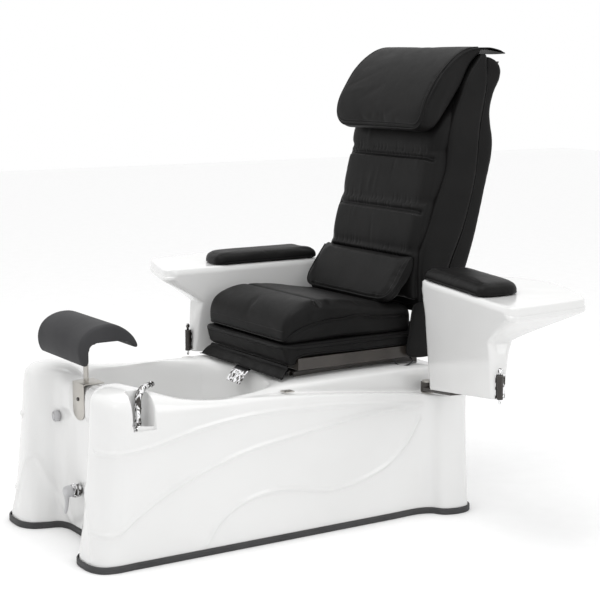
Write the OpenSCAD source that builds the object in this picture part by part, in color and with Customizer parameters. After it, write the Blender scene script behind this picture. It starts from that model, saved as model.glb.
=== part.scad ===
// Pedicure spa chair: a moulded foot-basin tub, a sliding and reclining
// upholstered seat, two swing-out armrests with trays and a raised footrest.
// X is across the chair (the sitter's left is +X), the footrest end is -Y,
// +Z is up and the floor is z = 0.

/* [Tub] */
// Half the width of the tub across its straight sides
side_x = 336; // [326:1:346]
// Length from the front feet to the middle of the tub
front_reach = 637; // [630:1:640]
// Length from the middle of the tub to its rear face
rear_reach = 645; // [640:1:655]
// Height of the seat deck
deck_z = 452; // [450:0.5:454]
// Half the width of the raised deck between the armrests
deck_x = 283; // [278:1:284]
// Height of the basin floor
basin_floor_z = 190; // [180:1:200]
// Thickness of the moulded wall
wall = 6; // [5:0.5:7]

/* [Seat] */
// Half the width of the seat cushion
seat_x = 243; // [235:1:244]
// Front of the seat cushion
seat_front = 28; // [24:1:36]
// Rear of the seat cushion
seat_rear = 500; // [490:1:502]
// Half the width of the backrest
back_x = 255; // [250:1:258]

/* [Armrests] */
// Inner face of a closed armrest
arm_x = 290; // [289:0.5:294]
// Height of the tray's top face
tray_z = 738; // [730:1:745]
// How far the sitter's left armrest is swung out
arm_open = 77; // [70:1:80]
// Place of the swing post, across
pivot_x = 316; // [315:0.5:318]
// Place of the swing post, along
pivot_y = 512; // [508:1:514]

/* [Footrest] */
// Half the width of the footrest pad
foot_pad_x = 150; // [130:1:160]
// Front of the bracket that hooks over the tub's front wall
bracket_y = -530; // [-532:0.5:-529]

/* [Hidden] */
$fn = 48;

// Colours
white = "white";
black = [0.07, 0.065, 0.065];
steel = "silver";
chrome = "lightgray";
dark_frame = [0.12, 0.1, 0.09];

// ---- small helpers -------------------------------------------------------
function mix(a, b, t) = a + (b - a) * t;
function ease(t) = let (u = max(0, min(1, t))) u * u * (3 - 2 * u);
function unit(v) = v / max(norm(v), 1e-9);
function reverse(v) = [for (i = [len(v) - 1:-1:0]) v[i]];

// A prism whose outline is drawn in Y and Z and that runs from x0 to x1
module side_prism(points, x0, x1) {
    translate([x0, 0, 0]) rotate([90, 0, 90])
        linear_extrude(x1 - x0) polygon(points);
}
// The same, with its outline's corners rounded
module soft_prism(points, x0, x1, r) {
    translate([x0, 0, 0]) rotate([90, 0, 90])
        linear_extrude(x1 - x0) offset(r) offset(-r) polygon(points);
}
module box(x0, x1, y0, y1, z0, z1) {
    translate([x0, y0, z0]) cube([x1 - x0, y1 - y0, z1 - z0]);
}
module both_sides() {
    children();
    mirror([1, 0, 0]) children();
}
// A straight round bar from point a along +X, +Y or +Z
module bar_x(p, l, r) translate(p) rotate([0, 90, 0]) cylinder(h = l, r = r);
module bar_y(p, l, r) translate(p) rotate([-90, 0, 0]) cylinder(h = l, r = r);
module bar_z(p, l, r) translate(p) cylinder(h = l, r = r);

// ---- tub ------------------------------------------------------------------
// Right half of the tub's foot, from the front centre to the rear centre
foot_line = [
    [0, -515], [24, -515], [60, -515], [112, -518], [143, -534], [156, -572],
    [174, -612], [206, -633], [250, -front_reach], [296, -631], [325, -611],
    [side_x, -578], [side_x, -518], [side_x, -446], [side_x, -350],
    [side_x, -235], [side_x, -118], [side_x, 0], [side_x, 120],
    [side_x, 240], [side_x, 360], [side_x, 470], [350, 506], [384, 532],
    [398, 576], [390, 618], [360, 640], [290, rear_reach],
    [150, rear_reach], [0, rear_reach]
];
// The same columns where the side ends: x, y, height and crest above it
shoulder_line = [
    [0, -526, 432, 470], [24, -526, 432, 470], [60, -526, 432, 470],
    [112, -530, 434, 471], [146, -542, 438, 475], [166, -562, 444, 482],
    [186, -580, 450, 490], [212, -590, 452, 496], [250, -590, 450, 500],
    [288, -580, 442, 500], [316, -560, 430, 498], [328, -538, 420, 495],
    [332, -512, 410, 490], [334, -446, 400, 476], [335, -350, 404, 458],
    [335, -235, 418, 447], [335, -118, 426, 448], [335, 0, 426, deck_z],
    [335, 120, 420, deck_z], [335, 240, 408, deck_z], [335, 360, 394, deck_z],
    [335, 470, 380, deck_z], [346, 506, 376, deck_z], [372, 530, 374, deck_z],
    [384, 574, 374, deck_z], [376, 612, 374, deck_z], [348, 631, 374, deck_z],
    [285, 636, 374, deck_z], [150, 636, 374, deck_z], [0, 636, 374, deck_z]
];
half_n = len(foot_line);
// 0 where the rim is a dome, 1 where a flat ledge runs below the deck
function ledge_weight(i) = ease((i - 15) / 3);

basin_mid = [0, -215];
drain_mid = [0, -205];
drain_r = 31;
mouth_z = 440;
tub_bottom_z = 4;
// Bearing of column i seen from the basin: in even steps at the front and the
// rear, and towards its foot along the sides
side_columns = [12, 18];
front_turn = 48;
rear_turn = 45;
function column_way(i) =
    i < side_columns[0] ? let (b = front_turn * i / side_columns[0]) [sin(b), -cos(b)] :
    i < side_columns[1] ? unit(foot_line[i] - basin_mid) :
    let (b = rear_turn * (half_n - 1 - i) / (half_n - 1 - side_columns[1])) [sin(b), cos(b)];
// A rounded-square curve round the basin's middle, in direction d
roundness = 2.5;
function squircle(d, a, front, rear) =
    let (b = d[1] < 0 ? front : rear)
    basin_mid + d * pow(pow(abs(d[0]) / a, roundness) + pow(abs(d[1]) / b, roundness),
        -1 / roundness);
function mouth(i) = squircle(column_way(i), 295, 240, 258);
function floor_edge(i) = squircle(column_way(i), 208, 165, 175);
function on_height(p, z) = [p[0], p[1], z];
function xy(p) = [p[0], p[1]];

// Side wall of column i, f = 0 at the foot and 1 at the shoulder
function side_point(i, f) =
    let (t = shoulder_line[i], blend = i <= 6 ? ease(f / 0.6) : pow(f, 0.7))
    on_height(mix(foot_line[i], xy(t), blend), mix(tub_bottom_z, t[2], f));
// Domed rim from the shoulder over the crest to the basin mouth
ledge_rise = 4;
dome_along = [0.04, 0.14, 0.32, 0.62, 0.86, 0.97, 1];
dome_up = [0.5, 0.82, 1, 1];
dome_down = [0.22, 0.6, 1];
function dome_point(i, q) =
    let (t = shoulder_line[i], top = t[3])
    on_height(mix(xy(t), mouth(i), dome_along[q]),
        q < 4 ? mix(t[2], top, dome_up[q]) : mix(top, mouth_z, dome_down[q - 4]));
// Ledged rim: a flat ledge, an upright wall and the deck
function ledge_point(i, q) =
    let (t = shoulder_line[i], inner = [min(t[0], deck_x), min(t[1], 600)],
         toward = unit(mouth(i) - inner), step = unit(inner - xy(t)))
    q == 0 ? on_height(xy(t) + 3 * step, t[2] + 3) :
    q == 1 ? on_height(xy(t) + 11 * step, t[2] + ledge_rise) :
    q == 2 ? on_height(inner, t[2] + ledge_rise) :
    q == 3 ? on_height(inner + 2 * toward, deck_z - 9) :
    q == 4 ? on_height(inner + 11 * toward, deck_z) :
    q == 5 ? on_height(mouth(i) - 14 * toward, deck_z) :
    on_height(mouth(i), mouth_z);
function rim_point(i, q) =
    mix(dome_point(i, q), ledge_point(i, q), ledge_weight(i));
// Basin wall and floor
wall_along = [0.08, 0.22, 0.46, 0.75, 1];
wall_down = [0.3, 0.62, 0.87, 0.975, 1];
function basin_point(i, q) =
    on_height(mix(mouth(i), floor_edge(i), wall_along[q]),
        mix(mouth_z, basin_floor_z, wall_down[q]));
function drain_point(i, q) =
    let (c = drain_mid + drain_r * column_way(i))
    on_height(mix(floor_edge(i), c, q == 0 ? 0.5 : 1), basin_floor_z - 2 - q);
side_steps = [0, 0.08, 0.2, 0.38, 0.58, 0.8, 1];
function column(i) = concat(
    [for (f = side_steps) side_point(i, f)],
    [for (q = [0:6]) rim_point(i, q)],
    [for (q = [0:4]) basin_point(i, q)],
    [for (q = [0:1]) drain_point(i, q)]);
// All columns: the right half, then its mirror image back to the front
half_columns = [for (i = [0:half_n - 1]) column(i)];
columns = concat(half_columns,
    [for (i = [half_n - 2:-1:1]) [for (p = half_columns[i]) [-p[0], p[1], p[2]]]]);
col_n = len(columns);
row_n = len(columns[0]);
function at(c, r) = columns[(c + col_n) % col_n][max(0, min(row_n - 1, r))];
function outward(c, r) =
    unit(cross(at(c + 1, r) - at(c - 1, r), at(c, r + 1) - at(c, r - 1)));
function inner_point(c, r) =
    let (n = outward(c, r), flat = r == 0 ? unit([n[0], n[1], 0]) : n)
    at(c, r) - wall * flat;
tub_points = concat(
    [for (r = [0:row_n - 1]) for (c = [0:col_n - 1]) at(c, r)],
    [for (r = [0:row_n - 1]) for (c = [0:col_n - 1]) inner_point(c, r)]);
function id(c, r, s) = (c % col_n) + r * col_n + s * col_n * row_n;
function two_faces(a, b, c, d) = [[a, b, c], [a, c, d]];
// Openings left in the moulding: first and last column, first and last row
front_slot = [-1, 1, 8, 10];
niche_mouth = [11, 13, 7, 10];
rear_opening = [half_n - 2, half_n, 4, 5];
openings = [front_slot, niche_mouth, rear_opening];
function in_range(v, lo, hi) = v >= lo && v < hi;
function is_open(c, r) = len([for (o = openings) for (turn = [-col_n, 0])
    if (in_range(c + turn, o[0], o[1]) && in_range(r, o[2], o[3])) 1]) > 0;
// A strip of wall thickness along the edge from a to b, each [column, row]
function edge_strip(a, b) = two_faces(
    id(a[0], a[1], 0), id(b[0], b[1], 0), id(b[0], b[1], 1), id(a[0], a[1], 1));
function opening_edges(c, r) = concat(
    is_open((c + col_n - 1) % col_n, r) ? [] : edge_strip([c, r], [c, r + 1]),
    is_open(c, r + 1) ? [] : edge_strip([c, r + 1], [c + 1, r + 1]),
    is_open((c + 1) % col_n, r) ? [] : edge_strip([c + 1, r + 1], [c + 1, r]),
    is_open(c, r - 1) ? [] : edge_strip([c + 1, r], [c, r]));
function cell_faces(c, r) = concat(
    two_faces(id(c, r, 0), id(c, r + 1, 0), id(c + 1, r + 1, 0), id(c + 1, r, 0)),
    two_faces(id(c, r, 1), id(c + 1, r, 1), id(c + 1, r + 1, 1), id(c, r + 1, 1)));
tub_faces = concat(
    [for (r = [0:row_n - 2]) for (c = [0:col_n - 1])
        each is_open(c, r) ? opening_edges(c, r) : cell_faces(c, r)],
    [for (c = [0:col_n - 1]) each edge_strip([c, 0], [c + 1, 0])],
    [for (c = [0:col_n - 1]) each edge_strip([c + 1, row_n - 1], [c, row_n - 1])]);

// Places of the fittings that go through the moulding
valve_at = [-12, -520, 148];
button_at = [-132, -530, 350];
niche_at = [290, -481];
niche_floor_z = 388;
outlet_z = 110;
inlet_x = [80, 108];
inlet_z = 150;
panel_z = 262;

module tub_shell() color(white)
    polyhedron(tub_points, tub_faces, convexity = 10);

// The rubber strip round the foot
module bumper_strip() color([0.17, 0.17, 0.17]) linear_extrude(20) difference() {
    outline = concat(foot_line, [for (i = [half_n - 2:-1:1]) [-foot_line[i][0], foot_line[i][1]]]);
    offset(5) polygon(outline);
    offset(0.4) polygon(outline);
}

// ---- steel frame under the tub ---------------------------------------------
tube = 40;
tube_wall = 2.5;
frame_z = 22;
frame_x = 150;
post_y = [110, 500];
module tube_y(x, y0, y1, z) difference() {
    box(x - tube / 2, x + tube / 2, y0, y1, z, z + tube);
    box(x - tube / 2 + tube_wall, x + tube / 2 - tube_wall, y0 - 1, y1 + 1,
        z + tube_wall, z + tube - tube_wall);
}
module tube_x(y, x0, x1, z) difference() {
    box(x0, x1, y - tube / 2, y + tube / 2, z, z + tube);
    box(x0 - 1, x1 + 1, y - tube / 2 + tube_wall, y + tube / 2 - tube_wall,
        z + tube_wall, z + tube - tube_wall);
}
module base_frame() color(dark_frame) {
    both_sides() tube_y(frame_x, -430, 600, frame_z);
    for (y = [-400, 0, 220, 560]) tube_x(y, -frame_x + tube / 2, frame_x - tube / 2, frame_z);
    both_sides() for (y = post_y) {
        difference() {
            box(frame_x - 20, frame_x + 20, y - 20, y + 20, frame_z + tube, 440);
            box(frame_x - 17.5, frame_x + 17.5, y - 17.5, y + 17.5, frame_z + tube - 1, 441);
        }
        box(frame_x - 30, frame_x + 30, y - 30, y + 30, 440, 445);
    }
    // Arms that carry the armrest posts
    both_sides() box(frame_x + 20, pivot_x + 8, pivot_y - 22, pivot_y - 12, 300, 340);
}
foot_xy = [[-150, -380], [150, -380], [-150, 560], [150, 560], [0, 0]];
module levelling_feet() color([0.1, 0.1, 0.1]) for (p = foot_xy) translate([p[0], p[1], 0]) {
    cylinder(h = 10, r = 22);
    translate([0, 0, 10]) cylinder(h = 12, r = 6);
}

// ---- access panel at the back ------------------------------------------------
panel_tilt = 1.4;
panel_screw_x = [-162, 162];
panel_screw_z = [-54, 54];
module on_rear_face() translate([0, rear_reach - 0.1, 0]) rotate([panel_tilt, 0, 0]) children();
module rear_access_panel() color(white) on_rear_face() difference() {
    box(-172, 172, 0.3, 3.3, panel_z - 64, panel_z + 64);
    for (x = panel_screw_x) for (z = panel_screw_z) bar_y([x, -1, panel_z + z], 6, 2.6);
    for (k = [-2:2]) box(-60, 60, -1, 5, panel_z + k * 16 - 2, panel_z + k * 16 + 2);
}
module panel_screws() color(steel) on_rear_face()
    for (x = panel_screw_x) for (z = panel_screw_z) bar_y([x, 3.32, panel_z + z], 2.4, 5);

// ---- water and drain -----------------------------------------------------------
module basin_drain() color(chrome) translate([drain_mid[0], drain_mid[1], 0]) {
    difference() {
        union() {
            translate([0, 0, basin_floor_z - 1.4]) cylinder(h = 3.4, r = 38);
            translate([0, 0, 150]) cylinder(h = 40, r = 24);
        }
        translate([0, 0, 149]) cylinder(h = 60, r = 20);
    }
    translate([-19.9, -2, basin_floor_z - 3]) cube([39.8, 4, 3]);
    translate([-2, -19.9, basin_floor_z - 3]) cube([4, 39.8, 3]);
}
pipe_r = 20;
// Plain stubs behind the tub that the hoses push onto
stub_y = 650;
stub_l = 12;
module drain_pipe() color([0.8, 0.8, 0.78]) difference() {
    union() {
        bar_z([0, drain_mid[1], outlet_z - pipe_r + 1.2], 58.8, pipe_r - 1.2);
        bar_y([0, drain_mid[1], outlet_z], 860, pipe_r - 1.2);
        bar_y([0, stub_y, outlet_z], stub_l, pipe_r);
    }
    bar_z([0, drain_mid[1], outlet_z - pipe_r + 3], 60, 17);
    bar_y([0, drain_mid[1], outlet_z], 870, 17);
}
module drain_valve() color(chrome) {
    difference() {
        union() {
            bar_y([valve_at[0], -545, valve_at[2]], 16, 21);
            bar_y([valve_at[0], -530, valve_at[2]], 297, 12);
        }
        bar_y([valve_at[0], -546, valve_at[2]], 20, 6.05);
    }
}
module drain_lever() color([0.75, 0.75, 0.76]) {
    bar_y([valve_at[0], -576, valve_at[2]], 30.5, 15);
    bar_y([valve_at[0], -546, valve_at[2]], 18, 6);
    translate([valve_at[0], 0, valve_at[2]]) soft_prism(
        [[-578, 10], [-566, 12], [-560, -20], [-566, -66], [-574, -66], [-580, -20]], -9, 9, 2.5);
}
module jet_pump() color([0.2, 0.2, 0.22]) {
    bar_y([0, 90, 250], 36, 58);
    bar_y([0, 126, 250], 190, 46);
    bar_y([0, 58, 330], 48, 18);
    bar_z([0, 100, 290], 40, 18);
    box(-60, 60, 140, 300, 194, 206);
    box(-60, -52, 140, 300, 62, 194);
    box(52, 60, 140, 300, 62, 194);
}
module jet_nozzle() color(chrome) difference() {
    union() {
        bar_y([0, 20, 330], 9, 33);
        bar_y([0, 28, 330], 29.9, 17);
    }
    bar_y([0, 10, 330], 60, 13);
}
module waterfall_spout() color(chrome) difference() {
    side_prism([[8, 446], [14, 457], [66, 459], [66, 454.5], [22, 453], [14, 440]], -42, 42);
    bar_z([0, 56, 440], 40, 4);
}
module supply_pipes() color("peru") difference() {
    for (x = inlet_x) {
        bar_y([x, -440, inlet_z], 1095, 8.2);
        bar_y([x, stub_y, inlet_z], stub_l, 9);
    }
    for (x = inlet_x) bar_y([x, -441, inlet_z], 1110, 7);
}
module mixer_valve() color("goldenrod") {
    box(66, 150, -482, -440, inlet_z - 14, inlet_z + 14);
    bar_x([150, -461, inlet_z], 112, 9);
    bar_z([262, -461, inlet_z - 12], 100, 12);
}
// A cup with a low outer lip and a high inner wall, set into the shoulder
niche_half_y = 36;
niche_slope = [[256, 382], [327, 382], [327, 398], [312, 440], [280, 470], [256, 478]];
module niche_block(grow) translate([0, niche_at[1] + niche_half_y + grow, 0])
    rotate([90, 0, 0]) linear_extrude(2 * (niche_half_y + grow)) children();
module sprayer_niche() color(white) difference() {
    niche_block(0) polygon(niche_slope);
    niche_block(-3) translate([259, niche_floor_z]) square([65, 100]);
    bar_z([sprayer_at[0], sprayer_at[1], 370], 40, 11);
}
sprayer_at = niche_at;
module sprayer_holder() color(chrome) difference() {
    union() {
        bar_z([sprayer_at[0], sprayer_at[1], niche_floor_z + 0.02], 12, 17);
        bar_z([sprayer_at[0], sprayer_at[1], 330], 60, 10.9);
    }
    bar_z([sprayer_at[0], sprayer_at[1], 320], 100, 7.08);
}
// The bend of the sprayer's neck, from its middle line
sprayer_bend = [[0, 0, 464], [-4, 6, 488], [-12, 24, 500], [-32, 57, 503]];
module sprayer_joint(p, r) translate([sprayer_at[0] + p[0], sprayer_at[1] + p[1], p[2]])
    sphere(r = r, $fn = 24);
module sprayer_head() color(chrome) {
    bar_z([sprayer_at[0], sprayer_at[1], 250], 152, 7);
    bar_z([sprayer_at[0], sprayer_at[1], 402], 62, 10);
    for (k = [0:2]) hull() {
        sprayer_joint(sprayer_bend[k], 10 - k * 0.7);
        sprayer_joint(sprayer_bend[k + 1], 9.3 - k * 0.7);
    }
}
module button_bezel() color([0.6, 0.6, 0.6]) translate([button_at[0], 0, button_at[2]])
    rotate([-90, 0, 0]) difference() {
        union() {
            translate([0, 0, -551]) cylinder(h = 16, r = 17);
            translate([0, 0, -540]) cylinder(h = 40, r = 12.8);
        }
        translate([0, 0, -552]) cylinder(h = 10, r = 10.08);
    }
module air_button() color([0.7, 0.7, 0.7])
    bar_y([button_at[0], -553, button_at[2]], 7, 10);
module control_box() color([0.15, 0.15, 0.16]) {
    box(-250, -175, 180, 400, 80, 240);
    bar_x([-175, 220, 120], 14, 8);
    bar_x([-175, 260, 120], 14, 8);
    box(-250, -175, 380, 392, 62, 80);
    box(-250, -175, 190, 202, 62, 80);
    box(-250, -170, 190, 392, 56, 62);
}

// ---- footrest ---------------------------------------------------------------------
module footrest_bracket() color([0.72, 0.7, 0.66]) difference() {
    union() {
        translate([0, bracket_y + 3, 0]) rotate([90, 0, 0]) linear_extrude(3) {
            translate([-38, 385]) square([76, 88]);
            translate([0, 385]) intersection() {
                scale([38, 24]) circle(r = 1, $fn = 64);
                translate([-40, -30]) square([80, 31]);
            }
        }
        box(-38, 38, bracket_y, -462, 471, 474);
        box(-17.2, 17.2, -510, -496, 405, 471);
    }
    box(-12.6, 12.6, -506.1, -499.9, 400, 480);
    bar_y([0, -540, 425], 20, 3.05);
}
module clamp_screw() color([0.35, 0.33, 0.3]) {
    bar_y([0, bracket_y - 3, 425], 2.98, 5.5);
    bar_y([0, bracket_y - 1, 425], 18, 3);
}
module footrest_post() color([0.72, 0.7, 0.66])
    box(-12.5, 12.5, -506, -500, 395, 610);
module footrest_plate() color([0.72, 0.7, 0.66]) box(-70, 70, -535, -470, 610, 614);
pad_profile = [
    [-578, 552], [-588, 575], [-590, 605], [-578, 634], [-552, 655], [-515, 665],
    [-475, 662], [-440, 645], [-415, 618], [-404, 594], [-416, 592], [-432, 606],
    [-460, 615], [-545, 615], [-560, 600], [-564, 554]
];
module footrest_pad() color([0.27, 0.27, 0.28])
    soft_prism(pad_profile, -foot_pad_x, foot_pad_x, 4);

// ---- seat carriage -------------------------------------------------------------------
rail_x = 195;
plate_z = deck_z + 0.3;
rail_z = plate_z + 4;
bolt_xy = [[150, 110], [150, 500]];
module seat_base_plate() color(dark_frame) difference() {
    box(-215, 215, 85, 548, plate_z, rail_z);
    both_sides() for (p = bolt_xy) bar_z([p[0], p[1], plate_z - 1], 6, 5);
}
module base_bolts() color(steel) both_sides() for (p = bolt_xy) {
    bar_z([p[0], p[1], 445.1], rail_z - 445.1, 4.9);
    bar_z([p[0], p[1], rail_z + 0.02], 5, 8);
}
module lower_rails() color(dark_frame) both_sides() difference() {
    box(rail_x - 15, rail_x + 15, 85, 548, rail_z + 0.02, rail_z + 18);
    box(rail_x - 10.5, rail_x + 10.5, 84, 549, rail_z + 2.5, rail_z + 13.5);
    box(rail_x - 6.5, rail_x + 6.5, 84, 549, rail_z + 12, rail_z + 19);
}
frame_low_z = 484;
frame_top_z = 520;
module upper_rails() color(steel) both_sides() {
    box(rail_x - 10, rail_x + 10, 180, 500, rail_z + 3, rail_z + 13);
    box(rail_x - 6, rail_x + 6, 180, 500, rail_z + 13, frame_low_z);
}
rod_z = 470;
module slide_actuator() color([0.13, 0.13, 0.14]) difference() {
    union() {
        bar_y([0, 300, rod_z], 246, 12);
        box(20, 62, 430, 530, rail_z + 0.02, 482);
        box(10, 22, 440, 520, rail_z + 0.02, 482);
        box(-12, 12, 330, 350, rail_z + 0.02, 464);
    }
    bar_y([0, 299, rod_z], 237, 6.1);
}
module slide_rod() color(chrome) {
    bar_y([0, 112, rod_z], 368, 6);
    box(-12, 12, 90, 112, rod_z - 10, frame_low_z - 0.02);
}
module seat_frame() color(dark_frame) {
    both_sides() box(213, 243, 80, 566, frame_low_z, frame_top_z);
    box(-213, 213, 80, 112, frame_low_z, frame_top_z);
    box(-213, 213, 180, 212, frame_low_z, frame_top_z);
    box(-213, 213, 468, 500, frame_low_z, frame_top_z);
    box(-213, 213, 536, 566, frame_low_z, frame_top_z);
}
module seat_box() color(black) soft_prism([
    [50, 500], [78.5, 500], [78.5, 520.6], [seat_rear, 520.6], [seat_rear, 563],
    [36, 563], [40, 530]], -240, 240, 2);
module seat_cushion() color(black) soft_prism([
    [34, 565], [seat_front, 590], [32, 625], [52, 655], [90, 675], [150, 684],
    [260, 674], [380, 648], [seat_rear, 632], [seat_rear, 565]], -seat_x, seat_x, 6);
module seat_skirt() color(black) soft_prism([
    [44, 499.5], [70, 499.5], [66, 493], [26, 467], [16, 467], [30, 486]], -253, 253, 1);
hinge_at = [530, 560];
module hinge_plates() color(dark_frame) both_sides() difference() {
    union() {
        box(233, 240, 505, 560, frame_top_z, 560);
        bar_x([233, hinge_at[0], hinge_at[1]], 7, 22);
    }
    bar_x([230, hinge_at[0], hinge_at[1]], 16, 8.05);
}
module recline_motor() color([0.13, 0.13, 0.14]) {
    bar_x([60, hinge_at[0], hinge_at[1]], 150, 26);
    bar_x([20, hinge_at[0], hinge_at[1]], 40, 20);
    box(70, 110, 512, 548, frame_top_z, 545);
    box(160, 200, 512, 548, frame_top_z, 545);
}
wire_route = [
    [228, 446, 483.9], [228, 446, 476], [231, 448, 468], [240, 453, 461], [251, 463, 459],
    [259, 476, 462], [260, 489, 468], [253, 499, 472], [242, 504, 473], [232, 506, 477],
    [228, 507, 480], [228, 507, 483.9]
];
wire_r = 2.6;
module swept_tube(route, r) {
    n = len(route);
    sides = 8;
    dirs = [for (i = [0:n - 1]) unit(route[min(n - 1, i + 1)] - route[max(0, i - 1)])];
    rings = [for (i = [0:n - 1])
        let (d = dirs[i], a = unit(cross(d, [0.1, 0.2, 1])), b = cross(d, a))
        for (k = [0:sides - 1]) route[i] + r * (cos(k * 360 / sides) * a + sin(k * 360 / sides) * b)];
    skin = [for (i = [0:n - 2]) for (k = [0:sides - 1]) each two_faces(
        i * sides + k, (i + 1) * sides + k,
        (i + 1) * sides + (k + 1) % sides, i * sides + (k + 1) % sides)];
    ends = [[for (k = [0:sides - 1]) k], [for (k = [sides - 1:-1:0]) (n - 1) * sides + k]];
    polyhedron(rings, concat(skin, ends));
}
module wiring_loop() color([0.05, 0.05, 0.05]) swept_tube(wire_route, wire_r);

// ---- backrest ----------------------------------------------------------------------------
// Front of the backrest at a height z: upright at the lumbar, then leaning back
function back_front(z) = z < 800 ? 520 : 520 + (z - 800) * 0.385;
function back_rear(z) = z < 1150 ? mix(668, 815, (z - 600) / 550) : mix(815, 838, (z - 1150) / 280);
layer_z = [604, 700, 800, 900, 1000, 1100, 1200, 1300, 1400];
function layer(front, rear) = concat(
    [for (z = layer_z) [back_front(z) + front, z]],
    reverse([for (z = layer_z) [rear == undef ? back_rear(z) : back_front(z) + rear, z]]));
module back_frame() color(dark_frame) {
    side_prism(layer(76, 92), -232, 232);
    both_sides() {
        side_prism([[518, 552], [530, 540], [550, 542], [612, 600], [612, 640], [597, 640],
            [597, 606]], 223, 230);
        bar_x([223, hinge_at[0], hinge_at[1]], 7, 20);
        bar_x([222, hinge_at[0], hinge_at[1]], 22, 8);
    }
}
module back_shell() color(black) soft_prism(layer(93, undef), -back_x, back_x, 8);
// How far the quilted cushion stands out from the backrest's front, at each height
cushion_swell = [[604, 14], [800, 14], [880, 24], [1036, 42], [1137, 62], [1190, 62],
    [1250, 40], [1300, 20], [1400, 14]];
module back_cushion() color(black) soft_prism(concat(
    [for (s = cushion_swell) [back_front(s[0]) - s[1], s[0]]],
    [[back_front(1400) + 75, 1400], [back_front(800) + 75, 800], [back_front(604) + 75, 604]]),
    -196, 196, 10);
module back_bolsters() color(black) both_sides()
    soft_prism(layer(-4, 75), 196.5, back_x, 10);
module lumbar_flap() color(black) soft_prism([
    [504, 800], [486, 790], [440, 716], [408, 668], [414, 655], [440, 660],
    [480, 690], [505, 720]], -back_x + 3, back_x - 3, 5);
module headrest_pillow() color(black) soft_prism([
    [599, 1188], [560, 1178], [543, 1188], [540, 1230], [570, 1305], [632, 1385],
    [700, 1432], [755, 1446], [775, 1440], [760, 1402], [736, 1402], [690, 1304], [648, 1252],
    [610, 1204]], -back_x + 5, back_x - 5, 5);
module headrest_tail() color(black) soft_prism([
    [776, 1439], [778, 1446], [835, 1440], [852, 1428], [846, 1424], [800, 1433]],
    -back_x + 5, back_x - 5, 1);

// ---- armrests, drawn closed at the sitter's left -------------------------------------------
tray_line = [
    [arm_x, 508], [arm_x, -60], [arm_x + 8, -80], [arm_x + 26, -84], [540, -10], [575, 14],
    [592, 46], [640, 240], [641, 290], [632, 340], [604, 420], [570, 470], [520, 500], [460, 508]
];
// Panel sections: z, rear y, front y, thickness at the rear and at the front
panel_levels = [
    [0, 440, 14, 52, 30], [0.25, 458, 20, 58, 38], [0.5, 475, 30, 66, 52],
    [0.75, 490, 36, 90, 84], [0.9, 498, 8, 150, 160], [1, 503, -50, 262, 240]
];
panel_low = [406, 464];
panel_top = 705;
function panel_ring(k) =
    let (s = panel_levels[k], z0 = mix(panel_low[0], panel_top, s[0]), z1 = mix(panel_low[1], panel_top, s[0]),
         rear = s[1], front = s[2], a = s[3], b = s[4], c = min(20, b * 0.4))
    [[arm_x, rear, z0], [arm_x, front + c, z1], [arm_x + c, front, z1], [arm_x + b - c, front, z1],
     [arm_x + b, front + c, z1], [arm_x + mix(a, b, 0.5) * 1.04, mix(rear, front, 0.5), mix(z0, z1, 0.5)],
     [arm_x + a, rear - 14, z0], [arm_x + a - 14, rear, z0]];
module panel_solid() {
    n = 8;
    m = len(panel_levels);
    points = [for (k = [0:m - 1]) each panel_ring(k)];
    faces = concat([[for (i = [0:n - 1]) i]], [[for (i = [n - 1:-1:0]) (m - 1) * n + i]],
        [for (k = [0:m - 2]) for (i = [0:n - 1]) each two_faces(
            k * n + i, (k + 1) * n + i, (k + 1) * n + (i + 1) % n, k * n + (i + 1) % n)]);
    polyhedron(points, faces);
}
// The hollow inside the moulding, open at the bottom
module panel_cavity() {
    side_prism([[430, 380], [452, 520], [474, 640], [484, 712], [60, 712], [52, 560],
        [36, 440]], arm_x + 6, arm_x + 24);
    translate([0, 0, tray_z - 30]) linear_extrude(24) offset(-12) polygon(tray_line);
}
module armrest_shell() color(white) difference() {
    union() {
        translate([0, 0, tray_z - 36]) linear_extrude(36) polygon(tray_line);
        panel_solid();
    }
    panel_cavity();
}
pad_line = [
    [arm_x - 1, 500], [arm_x - 1, 130], [arm_x + 6, 112], [arm_x + 24, 106], [390, 120],
    [424, 140], [442, 172], [447, 220], [447, 470], [440, 500]
];
module armrest_pad() color(black) hull() {
    translate([0, 0, tray_z + 0.4]) linear_extrude(16) polygon(pad_line);
    translate([0, 0, tray_z + 16]) linear_extrude(18) offset(-20) polygon(pad_line);
}
arm_z = 384;
module armrest_arm() color([0.3, 0.3, 0.3]) difference() {
    union() {
        bar_z([pivot_x, pivot_y, arm_z], 30, 22);
        side_prism([[pivot_y - 15, arm_z + 6], [pivot_y - 15, arm_z + 16], [444, 405.4],
            [430, 405.5], [300, 423.4], [300, 415.4], [444, 396.4]], arm_x + 4, arm_x + 46);
    }
    bar_z([pivot_x, pivot_y, arm_z - 1], 40, 12.05);
}
latch_at = [306, 2];
latch_pin_z = 452;
module latch_barrel() color(steel) difference() {
    union() {
        box(latch_at[0] - 13, latch_at[0] + 13, 10.8, 13.8, 466, 536);
        bar_z([latch_at[0], latch_at[1], 466], 68, 9);
    }
    bar_z([latch_at[0], latch_at[1], 460], 80, 4.05);
}
module latch_bolt() color(chrome) {
    bar_z([latch_at[0], latch_at[1], latch_pin_z], 546 - latch_pin_z, 4);
    translate([latch_at[0], latch_at[1], 548]) sphere(r = 7);
}
// The sitter's right armrest is closed, the left one is swung out
module at_right() mirror([1, 0, 0]) children();
module at_left() translate([pivot_x, pivot_y, 0]) rotate([0, 0, arm_open])
    translate([-pivot_x, -pivot_y, 0]) children();

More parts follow.
